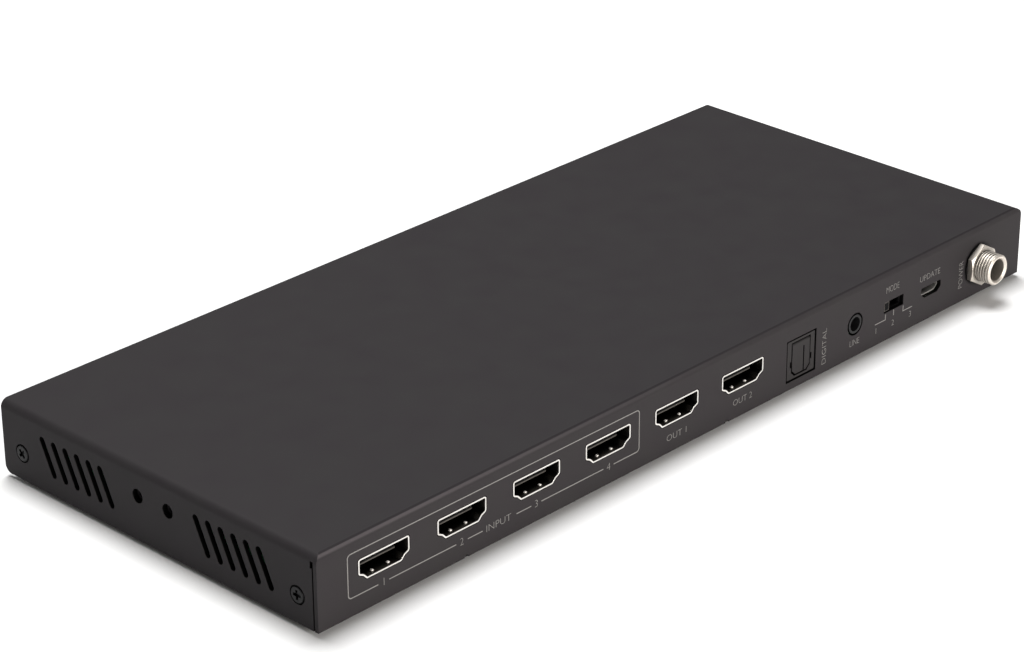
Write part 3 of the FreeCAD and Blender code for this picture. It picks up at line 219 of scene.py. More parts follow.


# Each finish with a shade reach carries painted shade: its colour darkens in hollows and corners, deepest
# in the sockets, the barrel's bore and the lights' holes
finishes = {
    # polyester powder coat on steel: matte, with a soft orange peel half a millimetre across; on the bend
    # above the sockets a painted highlight with a painted shade beside it, and inside and in the cuts a
    # near-black painted shade
    "powderCoatCharcoal": {"colour": "#2e2b2d", "second": "#302e2f", "rough": (0.58, 0.66),
                           "patch": 9.0, "grain": 0.55, "grainHeight": 0.006, "specular": 0.1,
                           "edge": 0.2, "paintedShade": 0.8, "paintedShadeDepth": 1.6, "bendShade": "#232022",
                           "bendHighlight": "#484446", "bendHighlightFrom": 95.0, "bendHighlightTo": -10.0,
                           "cutShade": "#090909"},
    # the same coat on the base, from another batch
    "powderCoatBase": {"colour": "#2e2b2d", "second": "#302e2f", "rough": (0.58, 0.66), "patch": 9.0,
                       "grain": 0.55, "grainHeight": 0.006, "specular": 0.1, "edge": 0.2, "paintedShade": 0.8,
                       "paintedShadeDepth": 1.6},
    # hot black oxide on steel screws: a thin satin black that shows the metal at its corners
    "blackOxideSteel": {"colour": "#1b1b1c", "second": "#232324", "rough": (0.4, 0.5), "patch": 1.2,
                        "grain": 0.3, "grainHeight": 0.006, "metallic": 0.5, "specular": 0.2,
                        "edge": 0.08, "paintedShade": 0.8, "paintedShadeDepth": 1.5},
    # epoxy screen ink: flat and even, with the mesh of the screen just felt
    "screenInkGrey": {"colour": "#757371", "second": "#7c7a78", "rough": (0.6, 0.7), "patch": 1.5,
                      "grain": 0.15, "grainHeight": 0.003},
    # electroplated nickel on stamped steel: warm, bright, with faint drawing lines along the socket
    "nickelPlatedSteel": {"colour": "#efece8", "second": "#e4e0da", "rough": (0.28, 0.38), "patch": 1.6,
                          "grain": 0.35, "grainHeight": 0.002, "metallic": 1.0,
                          "stretch": (1.0, 0.25, 1.0), "edge": 0.06, "paintedShade": 5.0, "paintedShadeDepth": 4.5},
    # near-white and almost not metallic, on the noses of the grip springs: a painted glint
    "nickelPaintedGlint": {"colour": "#f6f4f0", "second": "#efece7", "rough": (0.35, 0.45), "patch": 0.8,
                     "grain": 0.25, "grainHeight": 0.001, "metallic": 0.1},
    # tin on thin drawn steel, pale and mostly not metallic so that its lip shows bright, a painted
    # reflection; darker inside with painted shade
    "tinPlatePaintedReflection": {"colour": "#e8e6e3", "second": "#dcdad6", "rough": (0.36, 0.46), "patch": 1.0,
                      "grain": 0.2, "grainHeight": 0.001, "metallic": 0.25, "paintedShade": 2.2,
                      "paintedShadeDepth": 2.2},
    # black nylon of the sliding knob, its edges painted pale: part fingernail wear, part painted highlight
    "blackNylonWornHighlit": {"colour": "#0d0d0e", "second": "#121213", "rough": (0.4, 0.5), "patch": 0.9,
                       "grain": 0.15, "grainHeight": 0.003, "specular": 0.03, "wornHighlight": "#625f5c",
                       "wornReach": 0.5},
    # bright nickel over machined brass: the turning marks run round, so they stay very fine
    "nickelPlatedBrass": {"colour": "#e2dbd2", "second": "#d8d0c6", "rough": (0.42, 0.52), "patch": 1.2,
                          "grain": 0.25, "grainHeight": 0.003, "metallic": 0.85, "edge": 0.08,
                          "paintedShade": 4.0, "paintedShadeDepth": 1.7},
    # tin on steel: greyer and softer than nickel
    "tinPlatedSteel": {"colour": "#c9c9c6", "second": "#b7b8b6", "rough": (0.36, 0.48), "patch": 1.5,
                       "grain": 0.4, "grainHeight": 0.003, "metallic": 1.0, "edge": 0.06, "paintedShade": 3.0,
                       "paintedShadeDepth": 2.2},
    # zinc on steel hardware: bluish silver with a little bloom
    "zincPlatedSteel": {"colour": "#b9bdc0", "second": "#a7abb0", "rough": (0.3, 0.42), "patch": 1.8,
                        "grain": 0.4, "grainHeight": 0.004, "metallic": 1.0, "edge": 0.08},
    # flash gold over nickel on the contacts
    "goldFlashContact": {"colour": "#d9b463", "second": "#cfa653", "rough": (0.18, 0.26), "patch": 0.8,
                         "grain": 0.2, "grainHeight": 0.001, "metallic": 1.0, "paintedShade": 4.0,
                         "paintedShadeDepth": 1.5},
    # turned brass, left bare
    "turnedBrass": {"colour": "#c9a765", "second": "#b89556", "rough": (0.22, 0.3), "patch": 1.0,
                    "grain": 0.2, "grainHeight": 0.002, "metallic": 1.0, "paintedShade": 4.0,
                    "paintedShadeDepth": 2.0},
    # glass-filled polyester of the socket inserts: dull black with a sandy bloom from the glass
    "glassFilledPolyester": {"colour": "#0c0c0c", "second": "#121212", "rough": (0.55, 0.68),
                             "patch": 0.9, "grain": 0.12, "grainHeight": 0.003, "specular": 0.15,
                             "edge": 0.05},
    # the same polyester at the tip of a tongue, painted grey as a highlight along its front edge
    "polyesterPaintedHighlight": {"colour": "#4f4b47", "second": "#4b4844", "rough": (0.45, 0.55), "patch": 0.7,
                        "grain": 0.12, "grainHeight": 0.002, "specular": 0.3},
    # ABS moulded in a sparked tool: satin black with a fine even grain
    "satinBlackAbs": {"colour": "#1a1a1b", "second": "#1f1f20", "rough": (0.42, 0.5), "patch": 1.6,
                      "grain": 0.18, "grainHeight": 0.003, "specular": 0.2, "edge": 0.06, "paintedShade": 1.5,
                      "paintedShadeDepth": 1.3},
    # ABS dyed charcoal to go with the coat, in a finer sparked tool
    "charcoalAbs": {"colour": "#2a2829", "second": "#2d2b2b", "rough": (0.48, 0.56), "patch": 1.6,
                    "grain": 0.16, "grainHeight": 0.003, "specular": 0.12, "edge": 0.06, "paintedShade": 0.9,
                    "paintedShadeDepth": 1.6},
    # ABS moulded in a polished tool: deep gloss black with a faint ripple
    "glossBlackAbs": {"colour": "#0a0a0b", "second": "#0d0d0e", "rough": (0.05, 0.09), "patch": 3.0,
                      "grain": 2.2, "grainHeight": 0.004, "ior": 1.53, "coat": 0.6, "coatRough": 0.04},
    # smoked epoxy of the lights, near black while they are off
    "smokedEpoxyLens": {"colour": "#15171a", "second": "#1b1e21", "rough": (0.12, 0.2), "patch": 0.8,
                        "grain": 0.6, "grainHeight": 0.002, "specular": 0.25, "paintedShade": 1.5,
                        "paintedShadeDepth": 2.0},
    # dark epoxy of the receiver, which passes infra-red only
    "darkReceiverEpoxy": {"colour": "#120d10", "second": "#1a1216", "rough": (0.07, 0.12), "patch": 1.5,
                          "grain": 1.0, "grainHeight": 0.003, "ior": 1.54},
    # moulded epoxy of the chips: matte, with a fine blasted grain
    "blastedChipEpoxy": {"colour": "#1b1b1c", "second": "#222223", "rough": (0.6, 0.72), "patch": 2.0,
                         "grain": 0.14, "grainHeight": 0.004},
    # extruded aluminium, plain: drawn lines run along the fins
    "extrudedAluminium": {"colour": "#c4c6c8", "second": "#b4b6b9", "rough": (0.3, 0.44), "patch": 3.0,
                          "grain": 0.5, "grainHeight": 0.006, "metallic": 1.0,
                          "stretch": (1.0, 0.12, 1.0), "edge": 0.1},
    # drawn aluminium of the capacitor cans
    "drawnAluminium": {"colour": "#cfd0d0", "second": "#c0c1c2", "rough": (0.22, 0.3), "patch": 1.5,
                       "grain": 0.4, "grainHeight": 0.003, "metallic": 1.0, "stretch": (1.0, 1.0, 0.15),
                       "edge": 0.15},
    # pressed ferrite powder: grainy dark grey
    "pressedFerrite": {"colour": "#37383b", "second": "#424347", "rough": (0.62, 0.75), "patch": 0.9,
                       "grain": 0.2, "grainHeight": 0.012, "edge": 0.15},
    # filled silicone of the thermal pad
    "siliconePad": {"colour": "#7e8791", "second": "#8a929b", "rough": (0.7, 0.8), "patch": 1.5,
                    "grain": 0.3, "grainHeight": 0.01},
    # light grey silicone rubber of the feet: soft bloom and a fine tacky grain
    "greySiliconeRubber": {"colour": "#b9b7b1", "second": "#c6c4be", "rough": (0.62, 0.74),
                           "patch": 1.6, "grain": 0.22, "grainHeight": 0.008, "specular": 0.35,
                           "sheen": 0.1, "edge": 0.1},
}
materials = {name: makeFinish(name, look) for name, look in finishes.items()}


# Glass-epoxy laminate under green solder mask: glossy, with fine tracks that show lighter through the mask
boardLook = {"mask": "#0d3b24", "track": "#1b5a37", "cell": 2.6, "line": 0.09, "rough": 0.22, "ior": 1.55,
             "coat": 0.3, "weave": 0.5, "weaveHeight": 0.004}


def makeBoardFinish(look):
    material = bpy.data.materials.new("solderMaskLaminate")
    material.use_nodes = True
    tree = material.node_tree
    tree.nodes.clear()
    output = addNode(tree, "ShaderNodeOutputMaterial")
    place = addNode(tree, "ShaderNodeTexCoord")
    cells = addNode(tree, "ShaderNodeTexVoronoi",
                    {"feature": "DISTANCE_TO_EDGE", "Scale": repeats(look["cell"])},
                    {"Vector": place.outputs["Object"]})
    lines = addNode(tree, "ShaderNodeMath", {"operation": "LESS_THAN"}, {0: cells.outputs["Distance"]})
    lines.inputs[1].default_value = look["line"]
    colour = addNode(tree, "ShaderNodeMix", {"data_type": "RGBA"}, {"Factor": lines.outputs["Value"]})
    colour.inputs[6].default_value = linear(look["mask"])
    colour.inputs[7].default_value = linear(look["track"])
    weave = addNode(tree, "ShaderNodeTexNoise", {"Scale": repeats(look["weave"])},
                    {"Vector": place.outputs["Object"]})
    height = addNode(tree, "ShaderNodeMath", {"operation": "ADD"},
                     {0: weave.outputs["Fac"], 1: lines.outputs["Value"]})
    bump = addNode(tree, "ShaderNodeBump", {"Strength": 1.0, "Distance": look["weaveHeight"] * mm},
                   {"Height": height.outputs["Value"]})
    shader = addNode(tree, "ShaderNodeBsdfPrincipled",
                     {"Roughness": look["rough"], "IOR": look["ior"], "Coat Weight": look["coat"]},
                     {"Base Color": colour.outputs[2], "Normal": bump.outputs["Normal"]})
    tree.links.new(shader.outputs["BSDF"], output.inputs["Surface"])
    return material


materials["solderMaskLaminate"] = makeBoardFinish(boardLook)

# The finish of each node, and of the nodes of a family by the part of the name that they share
nodeFinish = {
    "top_cover": "powderCoatCharcoal", "base_chassis": "powderCoatBase",
    "side_screws": "blackOxideSteel", "main_board": "solderMaskLaminate",
    "board_standoffs": "zincPlatedSteel", "board_screws": "zincPlatedSteel",
    "optical_housing": "charcoalAbs", "optical_shutter": "charcoalAbs",
    "optical_shutter_pin": "blackOxideSteel", "optical_emitter": "satinBlackAbs",
    "audio_jack_body": "satinBlackAbs", "audio_jack_contacts": "tinPlatedSteel",
    "mode_switch_frame": "blackOxideSteel", "mode_switch_slider": "blackNylonWornHighlit",
    "service_shell": "tinPlatePaintedReflection", "service_insert": "glassFilledPolyester",
    "dc_jack_body": "glassFilledPolyester", "dc_jack_pin": "turnedBrass",
    "dc_jack_barrel": "nickelPlatedBrass", "dc_jack_washer": "blackOxideSteel",
    "dc_jack_nut": "nickelPlatedBrass", "push_switches": "glassFilledPolyester",
    "indicator_lights": "smokedEpoxyLens", "ir_receiver": "darkReceiverEpoxy",
    "ir_shield": "tinPlatedSteel", "matrix_chip": "blastedChipEpoxy", "thermal_pad": "siliconePad",
    "heat_sink": "extrudedAluminium", "video_chips": "blastedChipEpoxy",
    "port_chips": "blastedChipEpoxy", "power_inductors": "pressedFerrite",
    "power_capacitors": "drawnAluminium",
}
familyFinish = {"_shell": "nickelPlatedSteel", "_insert": "glassFilledPolyester",
                "foot_": "greySiliconeRubber", "button_": "glossBlackAbs", "plunger_": "satinBlackAbs"}
for node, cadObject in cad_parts.items():
    finish = nodeFinish.get(node) or next(familyFinish[part] for part in familyFinish if part in node)
    for cadSlot in cadObject.material_slots:
        cadSlot.material = materials[finish]
print("finishes on")


# Puts points, in millimetres, and faces into a mesh object that rides on a body
def addPiece(name, points, faces, finish, body="case", smooth=False):
    mesh = bpy.data.meshes.new(name)
    mesh.from_pydata((np.asarray(points, float) * mm).tolist(), [], [list(face) for face in faces])
    mesh.validate()
    mesh.materials.append(materials[finish])
    if smooth:
        mesh.shade_smooth()
    piece = bpy.data.objects.new(name, mesh)
    bpy.context.scene.collection.objects.link(piece)
    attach(piece, body)
    return piece


# The faces of a grid of rows by columns of points, joined end to end where it closes
def gridFaces(rows, columns, closeRows, closeColumns):
    r = np.arange(rows if closeRows else rows - 1)
    c = np.arange(columns if closeColumns else columns - 1)
    r, c = np.meshgrid(r, c, indexing="ij")
    rNext, cNext = (r + 1) % rows, (c + 1) % columns
    here, ahead = r * columns, rNext * columns
    return np.stack([here + c, here + cNext, ahead + cNext, ahead + c], -1).reshape(-1, 4)


# The two end faces of a tube whose rings have a number of points each, turned as gridFaces turns the sides
def endCaps(ring, last):
    return [list(range(ring))[::-1], [last + k for k in range(ring)]]


# Several shapes as one: each shape's faces are counted on from the points before it
def joinShapes(shapes):
    points, faces, count = [], [], 0
    for shapePoints, shapeFaces in shapes:
        points.append(np.asarray(shapePoints, float))
        faces += [[int(index) + count for index in face] for face in shapeFaces]
        count += len(shapePoints)
    return np.concatenate(points), faces


# A flat panel's place along y, and the signs that lead to the viewer's right and out of the panel
panels = {
    "rear": {"y": rearY, "right": -1.0, "out": 1.0},
    "front": {"y": frontPanelY, "right": 1.0, "out": -1.0},
}


# Points (x, height above the case's underside, height of ink) on a panel, into the frame
def onPanel(side, x, z, w):
    panel = panels[side]
    return np.stack([x, panel["y"] + panel["out"] * w, floorZ + z], -1)


# A printed line: the path is moved half a line's width to each side along its own normal,
# and each side is set down once on the panel and once at the ink's height, which gives a closed flat bar
def printedLine(side, path, width, ink):
    path = np.asarray(path, float)
    before, after = np.roll(path, 1, 0), np.roll(path, -1, 0)
    before[0], after[-1] = 2 * path[0] - path[1], 2 * path[-1] - path[-2]
    into, out = path - before, after - path
    into /= np.linalg.norm(into, axis=1, keepdims=True)
    out /= np.linalg.norm(out, axis=1, keepdims=True)
    mean = into + out
    mean /= np.linalg.norm(mean, axis=1, keepdims=True)
    share = np.clip((mean * into).sum(1), 0.5, 1)[:, None]  # a corner reaches one width out at most
    normal = np.stack([-mean[:, 1], mean[:, 0]], 1) / share
    left, right = path + normal * width / 2, path - normal * width / 2
    ring = np.stack([onPanel(side, left[:, 0], left[:, 1], np.zeros(len(path))),
                     onPanel(side, left[:, 0], left[:, 1], np.full(len(path), ink)),
                     onPanel(side, right[:, 0], right[:, 1], np.full(len(path), ink)),
                     onPanel(side, right[:, 0], right[:, 1], np.zeros(len(path)))], 1)
    faces = gridFaces(len(path), 4, False, True).tolist() + endCaps(4, len(path) * 4 - 4)
    if panels[side]["out"] > 0:
        faces = [face[::-1] for face in faces]
    return ring.reshape(-1, 3), faces


# A path with its inner corners rounded: each corner's arc runs between the points where it touches
# the two sides, as a centre less a cosine share along the one side and a sine share along the other
def roundedPath(corners, radius, steps=6):
    corners = np.asarray(corners, float)
    points = [corners[:1]]
    for before, here, after in zip(corners[:-2], corners[1:-1], corners[2:]):
        back = (before - here) / np.linalg.norm(before - here)
        ahead = (after - here) / np.linalg.norm(after - here)
        centre = here + (back + ahead) * radius
        angles = np.linspace(0, math.pi / 2, steps)[:, None]
        points.append(centre - ahead * radius * np.cos(angles) - back * radius * np.sin(angles))
    points.append(corners[-1:])
    return np.concatenate(points)


# Words as ink: the font's outline is filled, scaled to a real letter height and width, and given the ink's
# thickness. A negative offset thins the strokes, in the font's own units.
lettering = {"extrude": 0.01, "offset": -0.02, "resolution_u": 3}


def printedWords(side, words, x, z, height, ink, width=None, turned=False):
    curve = bpy.data.curves.new("words", "FONT")
    curve.body = words
    for key, value in lettering.items():
        setattr(curve, key, value)
    holder = bpy.data.objects.new("words", curve)
    bpy.context.scene.collection.objects.link(holder)
    bpy.context.view_layer.update()
    mesh = bpy.data.meshes.new_from_object(holder)
    points = np.zeros(len(mesh.vertices) * 3)
    mesh.vertices.foreach_get("co", points)
    points = points.reshape(-1, 3)
    faces = [list(face.vertices) for face in mesh.polygons]
    bpy.data.objects.remove(holder)
    bpy.data.curves.remove(curve)
    bpy.data.meshes.remove(mesh)
    low, high = points.min(0), points.max(0)
    size = high - low
    up = (points[:, 1] - (low[1] + high[1]) / 2) * height / size[1]
    across = (points[:, 0] - (low[0] + high[0]) / 2) * ((width or size[0] * height / size[1]) / size[0])
    if turned:
        across, up = -up, across
    raised = np.where(points[:, 2] > 0, ink, 0.0)
    return onPanel(side, x + panels[side]["right"] * across, z + up, raised), faces


# Print on the rear panel: x is the case's own, z is the height above its underside. Each word has its text,
# its middle x and z, its height, its width where that is measured, and whether it reads upwards.
rearPrint = {
    "ink": 0.03, "line": 0.25, "leaderLine": 0.225, "radius": 0.9,
    "frame": [(103.9, 4.35), (112.4, 4.35), (112.4, 14.73), (22.8, 14.73), (22.8, 4.35), (31.2, 4.35)],
    "bars": [(100.7, 80.9), (77.4, 72.9), (62.4, 57.8), (54.6, 34.6)],
    "leaders": [[(-66.45, 7.1), (-66.45, 5.65), (-62.4, 5.65)], [(-69.62, 7.35), (-69.62, 5.8)],
                [(-73.38, 7.1), (-73.38, 5.65), (-77.0, 5.65)]],
    "words": [
        ("1", 102.2, 4.45, 1.75, None, False), ("2", 79.2, 4.4, 1.75, None, False),
        ("3", 56.2, 4.4, 1.75, None, False), ("4", 32.9, 4.3, 1.75, None, False),
        ("INPUT", 67.9, 4.4, 1.6, 7.6, False), ("OUT 1", 10.0, 3.75, 1.55, 6.7, False),
        ("OUT 2", -13.1, 4.1, 1.55, 6.7, False), ("DIGITAL", -42.9, 6.9, 1.5, 9.2, True),
        ("LINE", -54.6, 3.9, 1.5, 3.6, False), ("MODE", -68.9, 13.4, 1.6, 5.0, False),
        ("1", -62.9, 3.9, 1.5, None, False), ("2", -69.5, 3.9, 1.5, None, False),
        ("3", -76.3, 3.9, 1.5, None, False), ("UPDATE", -83.8, 11.7, 1.5, 8.0, False),
        ("POWER", -96.6, 7.4, 1.6, 7.2, True),
    ],
}


def makeRearPrint(sizes):
    ink, line, barZ = sizes["ink"], sizes["line"], sizes["frame"][0][1]
    shapes = [printedLine("rear", roundedPath(sizes["frame"], sizes["radius"]), line, ink)]
    shapes += [printedLine("rear", [(start, barZ), (end, barZ)], line, ink) for start, end in sizes["bars"]]
    shapes += [printedLine("rear", leader, sizes["leaderLine"], ink) for leader in sizes["leaders"]]
    points, faces = joinShapes(shapes)
    addPiece("rear_print_lines", points, faces, "screenInkGrey")
    words = [printedWords("rear", text, x, z, height, ink, width, turned)
             for text, x, z, height, width, turned in sizes["words"]]
    points, faces = joinShapes(words)
    addPiece("rear_print_words", points, faces, "screenInkGrey")


makeRearPrint(rearPrint)


# Print on the front panel: a frame round each group, dashes between its numbers, and its name, with the
# name's middle x and its width, in the gap of the bottom line and a little above it
frontPrint = {
    "ink": 0.03, "line": 0.45, "dash": 0.45, "radius": 1.3, "low": 3.77, "high": 14.8, "numberZ": 11.1,
    "letterHeight": 1.7, "nameRise": 0.1,
    "groups": [
        {"span": (-87.2, -28.0), "breakAt": (-38.3, -29.8), "name": ("OUT 1", -33.8, 6.2)},
        {"span": (-27.0, 32.4), "breakAt": (22.0, 30.6), "name": ("OUT 2", 26.2, 6.2)},
        {"span": (33.4, 62.5), "breakAt": (52.0, 60.8), "name": ("SOUND", 56.5, 6.2)},
        {"span": (63.3, 92.4), "breakAt": (77.3, 90.6), "name": ("SCALE", 83.8, 9.0)},
        {"span": (93.4, 112.4), "breakAt": (102.9, 109.6), "name": ("AUX", 106.2, 4.1)},
    ],
    "dashes": [(-82.5, -75.5), (-72.2, -65.5), (-62.1, -55.6), (-52.1, -48.0), (-22.2, -15.5),
               (-11.9, -5.4), (-1.9, 4.6), (8.1, 12.1), (37.9, 44.9), (68.1, 74.9)],
    "numbers": [("1", -84), ("2", -74), ("3", -64), ("4", -54), ("SCAN", -44), ("1", -24), ("2", -14),
                ("3", -4), ("4", 6), ("SCAN", 16), ("1", 36), ("2", 46.2), ("1", 66), ("2", 76.2)],
    # a ring from the gap's degrees past its top (90) round to as many before it (450), and a bar in the gap
    "power": {"x": -109.0, "z": 11.6, "radius": 1.1, "gap": 40.0, "bar": (0.1, 1.3), "stroke": 0.3,
              "steps": 28},
}


def makeFrontPrint(sizes):
    ink, line, low, high, numberZ = (sizes[key] for key in ("ink", "line", "low", "high", "numberZ"))
    shapes = []
    for group in sizes["groups"]:
        left, right = group["span"]
        first, last = group["breakAt"]
        corners = [(first, low), (left, low), (left, high), (right, high), (right, low), (last, low)]
        shapes.append(printedLine("front", roundedPath(corners, sizes["radius"]), line, ink))
    for start, end in sizes["dashes"]:
        shapes.append(printedLine("front", [(start, numberZ), (end, numberZ)], sizes["dash"], ink))
    power = sizes["power"]
    turn = np.radians(np.linspace(90 + power["gap"], 450 - power["gap"], power["steps"]))
    arc = np.stack([power["x"] + power["radius"] * np.cos(turn),
                    power["z"] + power["radius"] * np.sin(turn)], 1)
    bar = [(power["x"], power["z"] + height) for height in power["bar"]]
    shapes += [printedLine("front", path, power["stroke"], ink) for path in (arc, bar)]
    points, faces = joinShapes(shapes)
    addPiece("front_print_lines", points, faces, "screenInkGrey")
    letterHeight = sizes["letterHeight"]
    words = [printedWords("front", text, x, numberZ, letterHeight, ink) for text, x in sizes["numbers"]]
    for name, x, width in (group["name"] for group in sizes["groups"]):
        words.append(printedWords("front", name, x, low + sizes["nameRise"], letterHeight, ink, width))
    points, faces = joinShapes(words)
    addPiece("front_print_words", points, faces, "screenInkGrey")


makeFrontPrint(frontPrint)
print("print laid")


# The video sockets' shell and tongue: the tongue lies a little below the middle of the opening,
# whose roof is the shell's top less its wall
videoSocket = {"wall": 0.35, "opening": 4.6, "tongueDrop": 0.3}


def tongueMiddle(shell):
    roof = shell[1][2] - videoSocket["wall"]
    return roof - videoSocket["opening"] / 2 - videoSocket["tongueDrop"]


# The nodes of one kind in the six video sockets
def videoNodes(ending):
    return [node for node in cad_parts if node.startswith("video_") and node.endswith(ending)]


# A block with its top edges taken off: three rings of a box's four corners, at the bottom, at the chamfer's
# foot and at the top, where the ring is drawn in by the chamfer
def chamferedBlock(centre, size, chamfer):
    x, y, z = np.asarray(size, float) / 2
    ring = np.array([(-1, -1), (1, -1), (1, 1), (-1, 1)], float)
    levels = [(-z, 0.0), (z - chamfer, 0.0), (z, chamfer)]
    rings = [np.column_stack([ring * (x - inset, y - inset), np.full(4, level)]) for level, inset in levels]
    faces = gridFaces(3, 4, False, True).tolist() + endCaps(4, 8)
    return np.concatenate(rings) + np.asarray(centre, float), faces


# Contact strips along both faces of each video socket's tongue, ten above and nine between them below:
# a row's strips stand at its index, less half the count less one, times the pitch, about the middle
contactStrips = {"rows": ((10, 1), (9, -1)), "tongueHalf": 0.45, "pitch": 1.0, "width": 0.46, "length": 4.6,
                 "thickness": 0.05, "setback": 0.35, "chamfer": 0.02}


def makeTongueContacts(sizes):
    strip = (sizes["width"], sizes["length"], sizes["thickness"])
    for socket in videoNodes("_insert"):
        low, high = (np.array(corner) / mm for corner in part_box(socket))
        shell = [np.array(corner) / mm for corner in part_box(socket.replace("_insert", "_shell"))]
        centre = (low[0] + high[0]) / 2
        tongueZ = tongueMiddle(shell)
        y = high[1] - sizes["setback"] - sizes["length"] / 2
        shapes = []
        for count, side in sizes["rows"]:
            for index in range(count):
                x = centre + (index - (count - 1) / 2) * sizes["pitch"]
                z = tongueZ + side * (sizes["tongueHalf"] + sizes["thickness"] / 2)
                shapes.append(chamferedBlock((x, y, z), strip, sizes["chamfer"]))
        points, faces = joinShapes(shapes)
        addPiece(socket.replace("_insert", "_contacts"), points, faces, "goldFlashContact")


makeTongueContacts(contactStrips)


# The tongue's tip, painted grey as a highlight along its front edge: a bar with its long lower edge taken
# off, a hair proud of the moulding behind it
tongueTip = {"length": 0.4, "half": 0.46, "top": 0.04, "chamfer": 0.22, "proud": 0.012, "setback": 2.4,
             "halfWidth": 5.36}


def makeTongueTips(sizes):
    half, cut, top = sizes["half"], sizes["chamfer"], sizes["top"]
    front = rearY - sizes["setback"] + sizes["proud"]
    back = front - sizes["length"]
    outline = np.array([(back, top), (front, top), (front, cut - half), (front - cut, -half),
                        (back, -half)])
    count = len(outline)
    for socket in videoNodes("_insert"):
        shell = [np.array(corner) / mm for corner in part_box(socket.replace("_insert", "_shell"))]
        centre, middle = (shell[0][0] + shell[1][0]) / 2, tongueMiddle(shell)
        ends = [np.column_stack([np.full(count, centre + side * sizes["halfWidth"]),
                                 outline[:, 0], middle + outline[:, 1]]) for side in (-1, 1)]
        faces = gridFaces(2, count, False, True).tolist() + endCaps(count, count)
        addPiece(socket.replace("_insert", "_tongue_tip"), np.concatenate(ends), faces, "polyesterPaintedHighlight")


makeTongueTips(tongueTip)


# The noses of the two grip springs in each video socket: a rounded bar, half sunk in the opening's floor,
# whose radius falls to its ends as the square root of one less the fourth power of the way along
springNose = {"offset": 2.3, "radius": 0.4, "length": 0.9, "setback": 0.95, "lift": -0.1, "rings": 14,
              "turns": 20, "leastShare": 0.002}


def makeSpringNoses(sizes):
    along = np.linspace(-1, 1, sizes["rings"])
    turn = np.linspace(0, 2 * math.pi, sizes["turns"], endpoint=False)
    radius = sizes["radius"] * np.sqrt(np.clip(1.0 - along ** 4, sizes["leastShare"], 1))
    for socket in videoNodes("_shell"):
        low, high = (np.array(corner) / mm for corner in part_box(socket))
        floor = high[2] - videoSocket["wall"] - videoSocket["opening"] + sizes["lift"]
        shapes = []
        for side in (-1, 1):
            x = (low[0] + high[0]) / 2 + side * sizes["offset"] + radius[:, None] * np.cos(turn)
            y = rearY - sizes["setback"] - sizes["length"] * (1 - along) / 2
            z = floor + radius[:, None] * np.sin(turn)
            points = np.stack([x, np.repeat(y[:, None], len(turn), 1), z], -1).reshape(-1, 3)
            faces = gridFaces(len(along), len(turn), False, True).tolist()
            faces += endCaps(len(turn), len(points) - len(turn))
            shapes.append((points, [face[::-1] for face in faces]))
        points, faces = joinShapes(shapes)
        # the noses' near-white, nearly non-metallic finish is a painted glint
        addPiece(socket.replace("_shell", "_springs"), points, faces, "nickelPaintedGlint",
                 smooth=True)


makeSpringNoses(springNose)


# The power barrel: a closed profile carried round its axis. On the threaded stretch the radius falls and
# rises with (height / pitch - turn), which winds the groove as a helix: its depth is grooveTop less
# grooveSlope times the distance from the middle of the phase, held between 0 and 1, and it fades out
# at both ends.
barrelSizes = {"crest": 3.93, "depth": 0.3, "pitch": 0.75, "grooveTop": 1.25, "grooveSlope": 4.0,
               "bore": 2.85, "rim": 0.35, "bevel": 0.42, "flange": 4.8, "flangeThickness": 1.2,
               "sheet": 1.0, "runIn": 0.2, "backEdge": 0.1, "boreRings": 8, "turns": 120, "steps": 14}


def makeBarrel(sizes):
    low, high = (np.array(corner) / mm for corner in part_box("dc_jack_barrel"))
    centreX, centreZ = (low[0] + high[0]) / 2, (low[2] + high[2]) / 2
    backY, frontY = low[1], high[1]
    bore, crest, flange, pitch = (sizes[key] for key in ("bore", "crest", "flange", "pitch"))
    innerY = rearY - sizes["sheet"]
    flangeY = innerY - sizes["flangeThickness"]
    threadStart, threadEnd = innerY + sizes["runIn"], frontY - sizes["rim"]
    along = np.linspace(threadStart, threadEnd, int((threadEnd - threadStart) / pitch * sizes["steps"]))
    profile = [(bore, backY), (crest, backY), (crest, flangeY), (flange, flangeY), (flange, innerY),
               (crest, innerY)]
    threadFrom = len(profile)
    profile += [(crest, y) for y in along]
    threadTo = len(profile)
    profile += [(crest - sizes["rim"], frontY), (bore + sizes["bevel"], frontY)]
    boreY = np.linspace(frontY - sizes["bevel"], backY + sizes["backEdge"], sizes["boreRings"])
    profile += [(bore, y) for y in boreY]
    profile = np.array(profile)
    radius, height = profile.T
    turn = np.linspace(0, 2 * math.pi, sizes["turns"], endpoint=False)
    phase = (height[:, None] / pitch - turn / (2 * math.pi)) % 1.0
    groove = np.clip(sizes["grooveTop"] - np.abs(phase - 0.5) * sizes["grooveSlope"], 0, 1) * sizes["depth"]
    fade = np.clip((threadEnd - height) / pitch, 0, 1) * np.clip((height - threadStart) / pitch, 0, 1)
    inThread = np.zeros(len(profile))
    inThread[threadFrom:threadTo] = 1
    radius = radius[:, None] - groove * (fade * inThread)[:, None]
    points = np.stack([centreX + radius * np.cos(turn), np.repeat(height[:, None], len(turn), 1),
                       centreZ + radius * np.sin(turn)], -1).reshape(-1, 3)
    faces = gridFaces(len(profile), len(turn), True, True).tolist()
    barrel = addPiece("dc_barrel_threaded", points, faces, "nickelPlatedBrass")
    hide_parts("dc_jack_barrel")


makeBarrel(barrelSizes)
print("sockets detailed")


# Two small black half-discs that fill the notches in the cover's lower edge, a painted shade where the
# notches would
# show the floor: half a disc, the cosine and sine of half a turn, carried a short way inwards
notchShadePips = {"x": (77.8, -7.7), "radius": 0.56, "front": 0.3, "length": 0.6, "turns": 16}


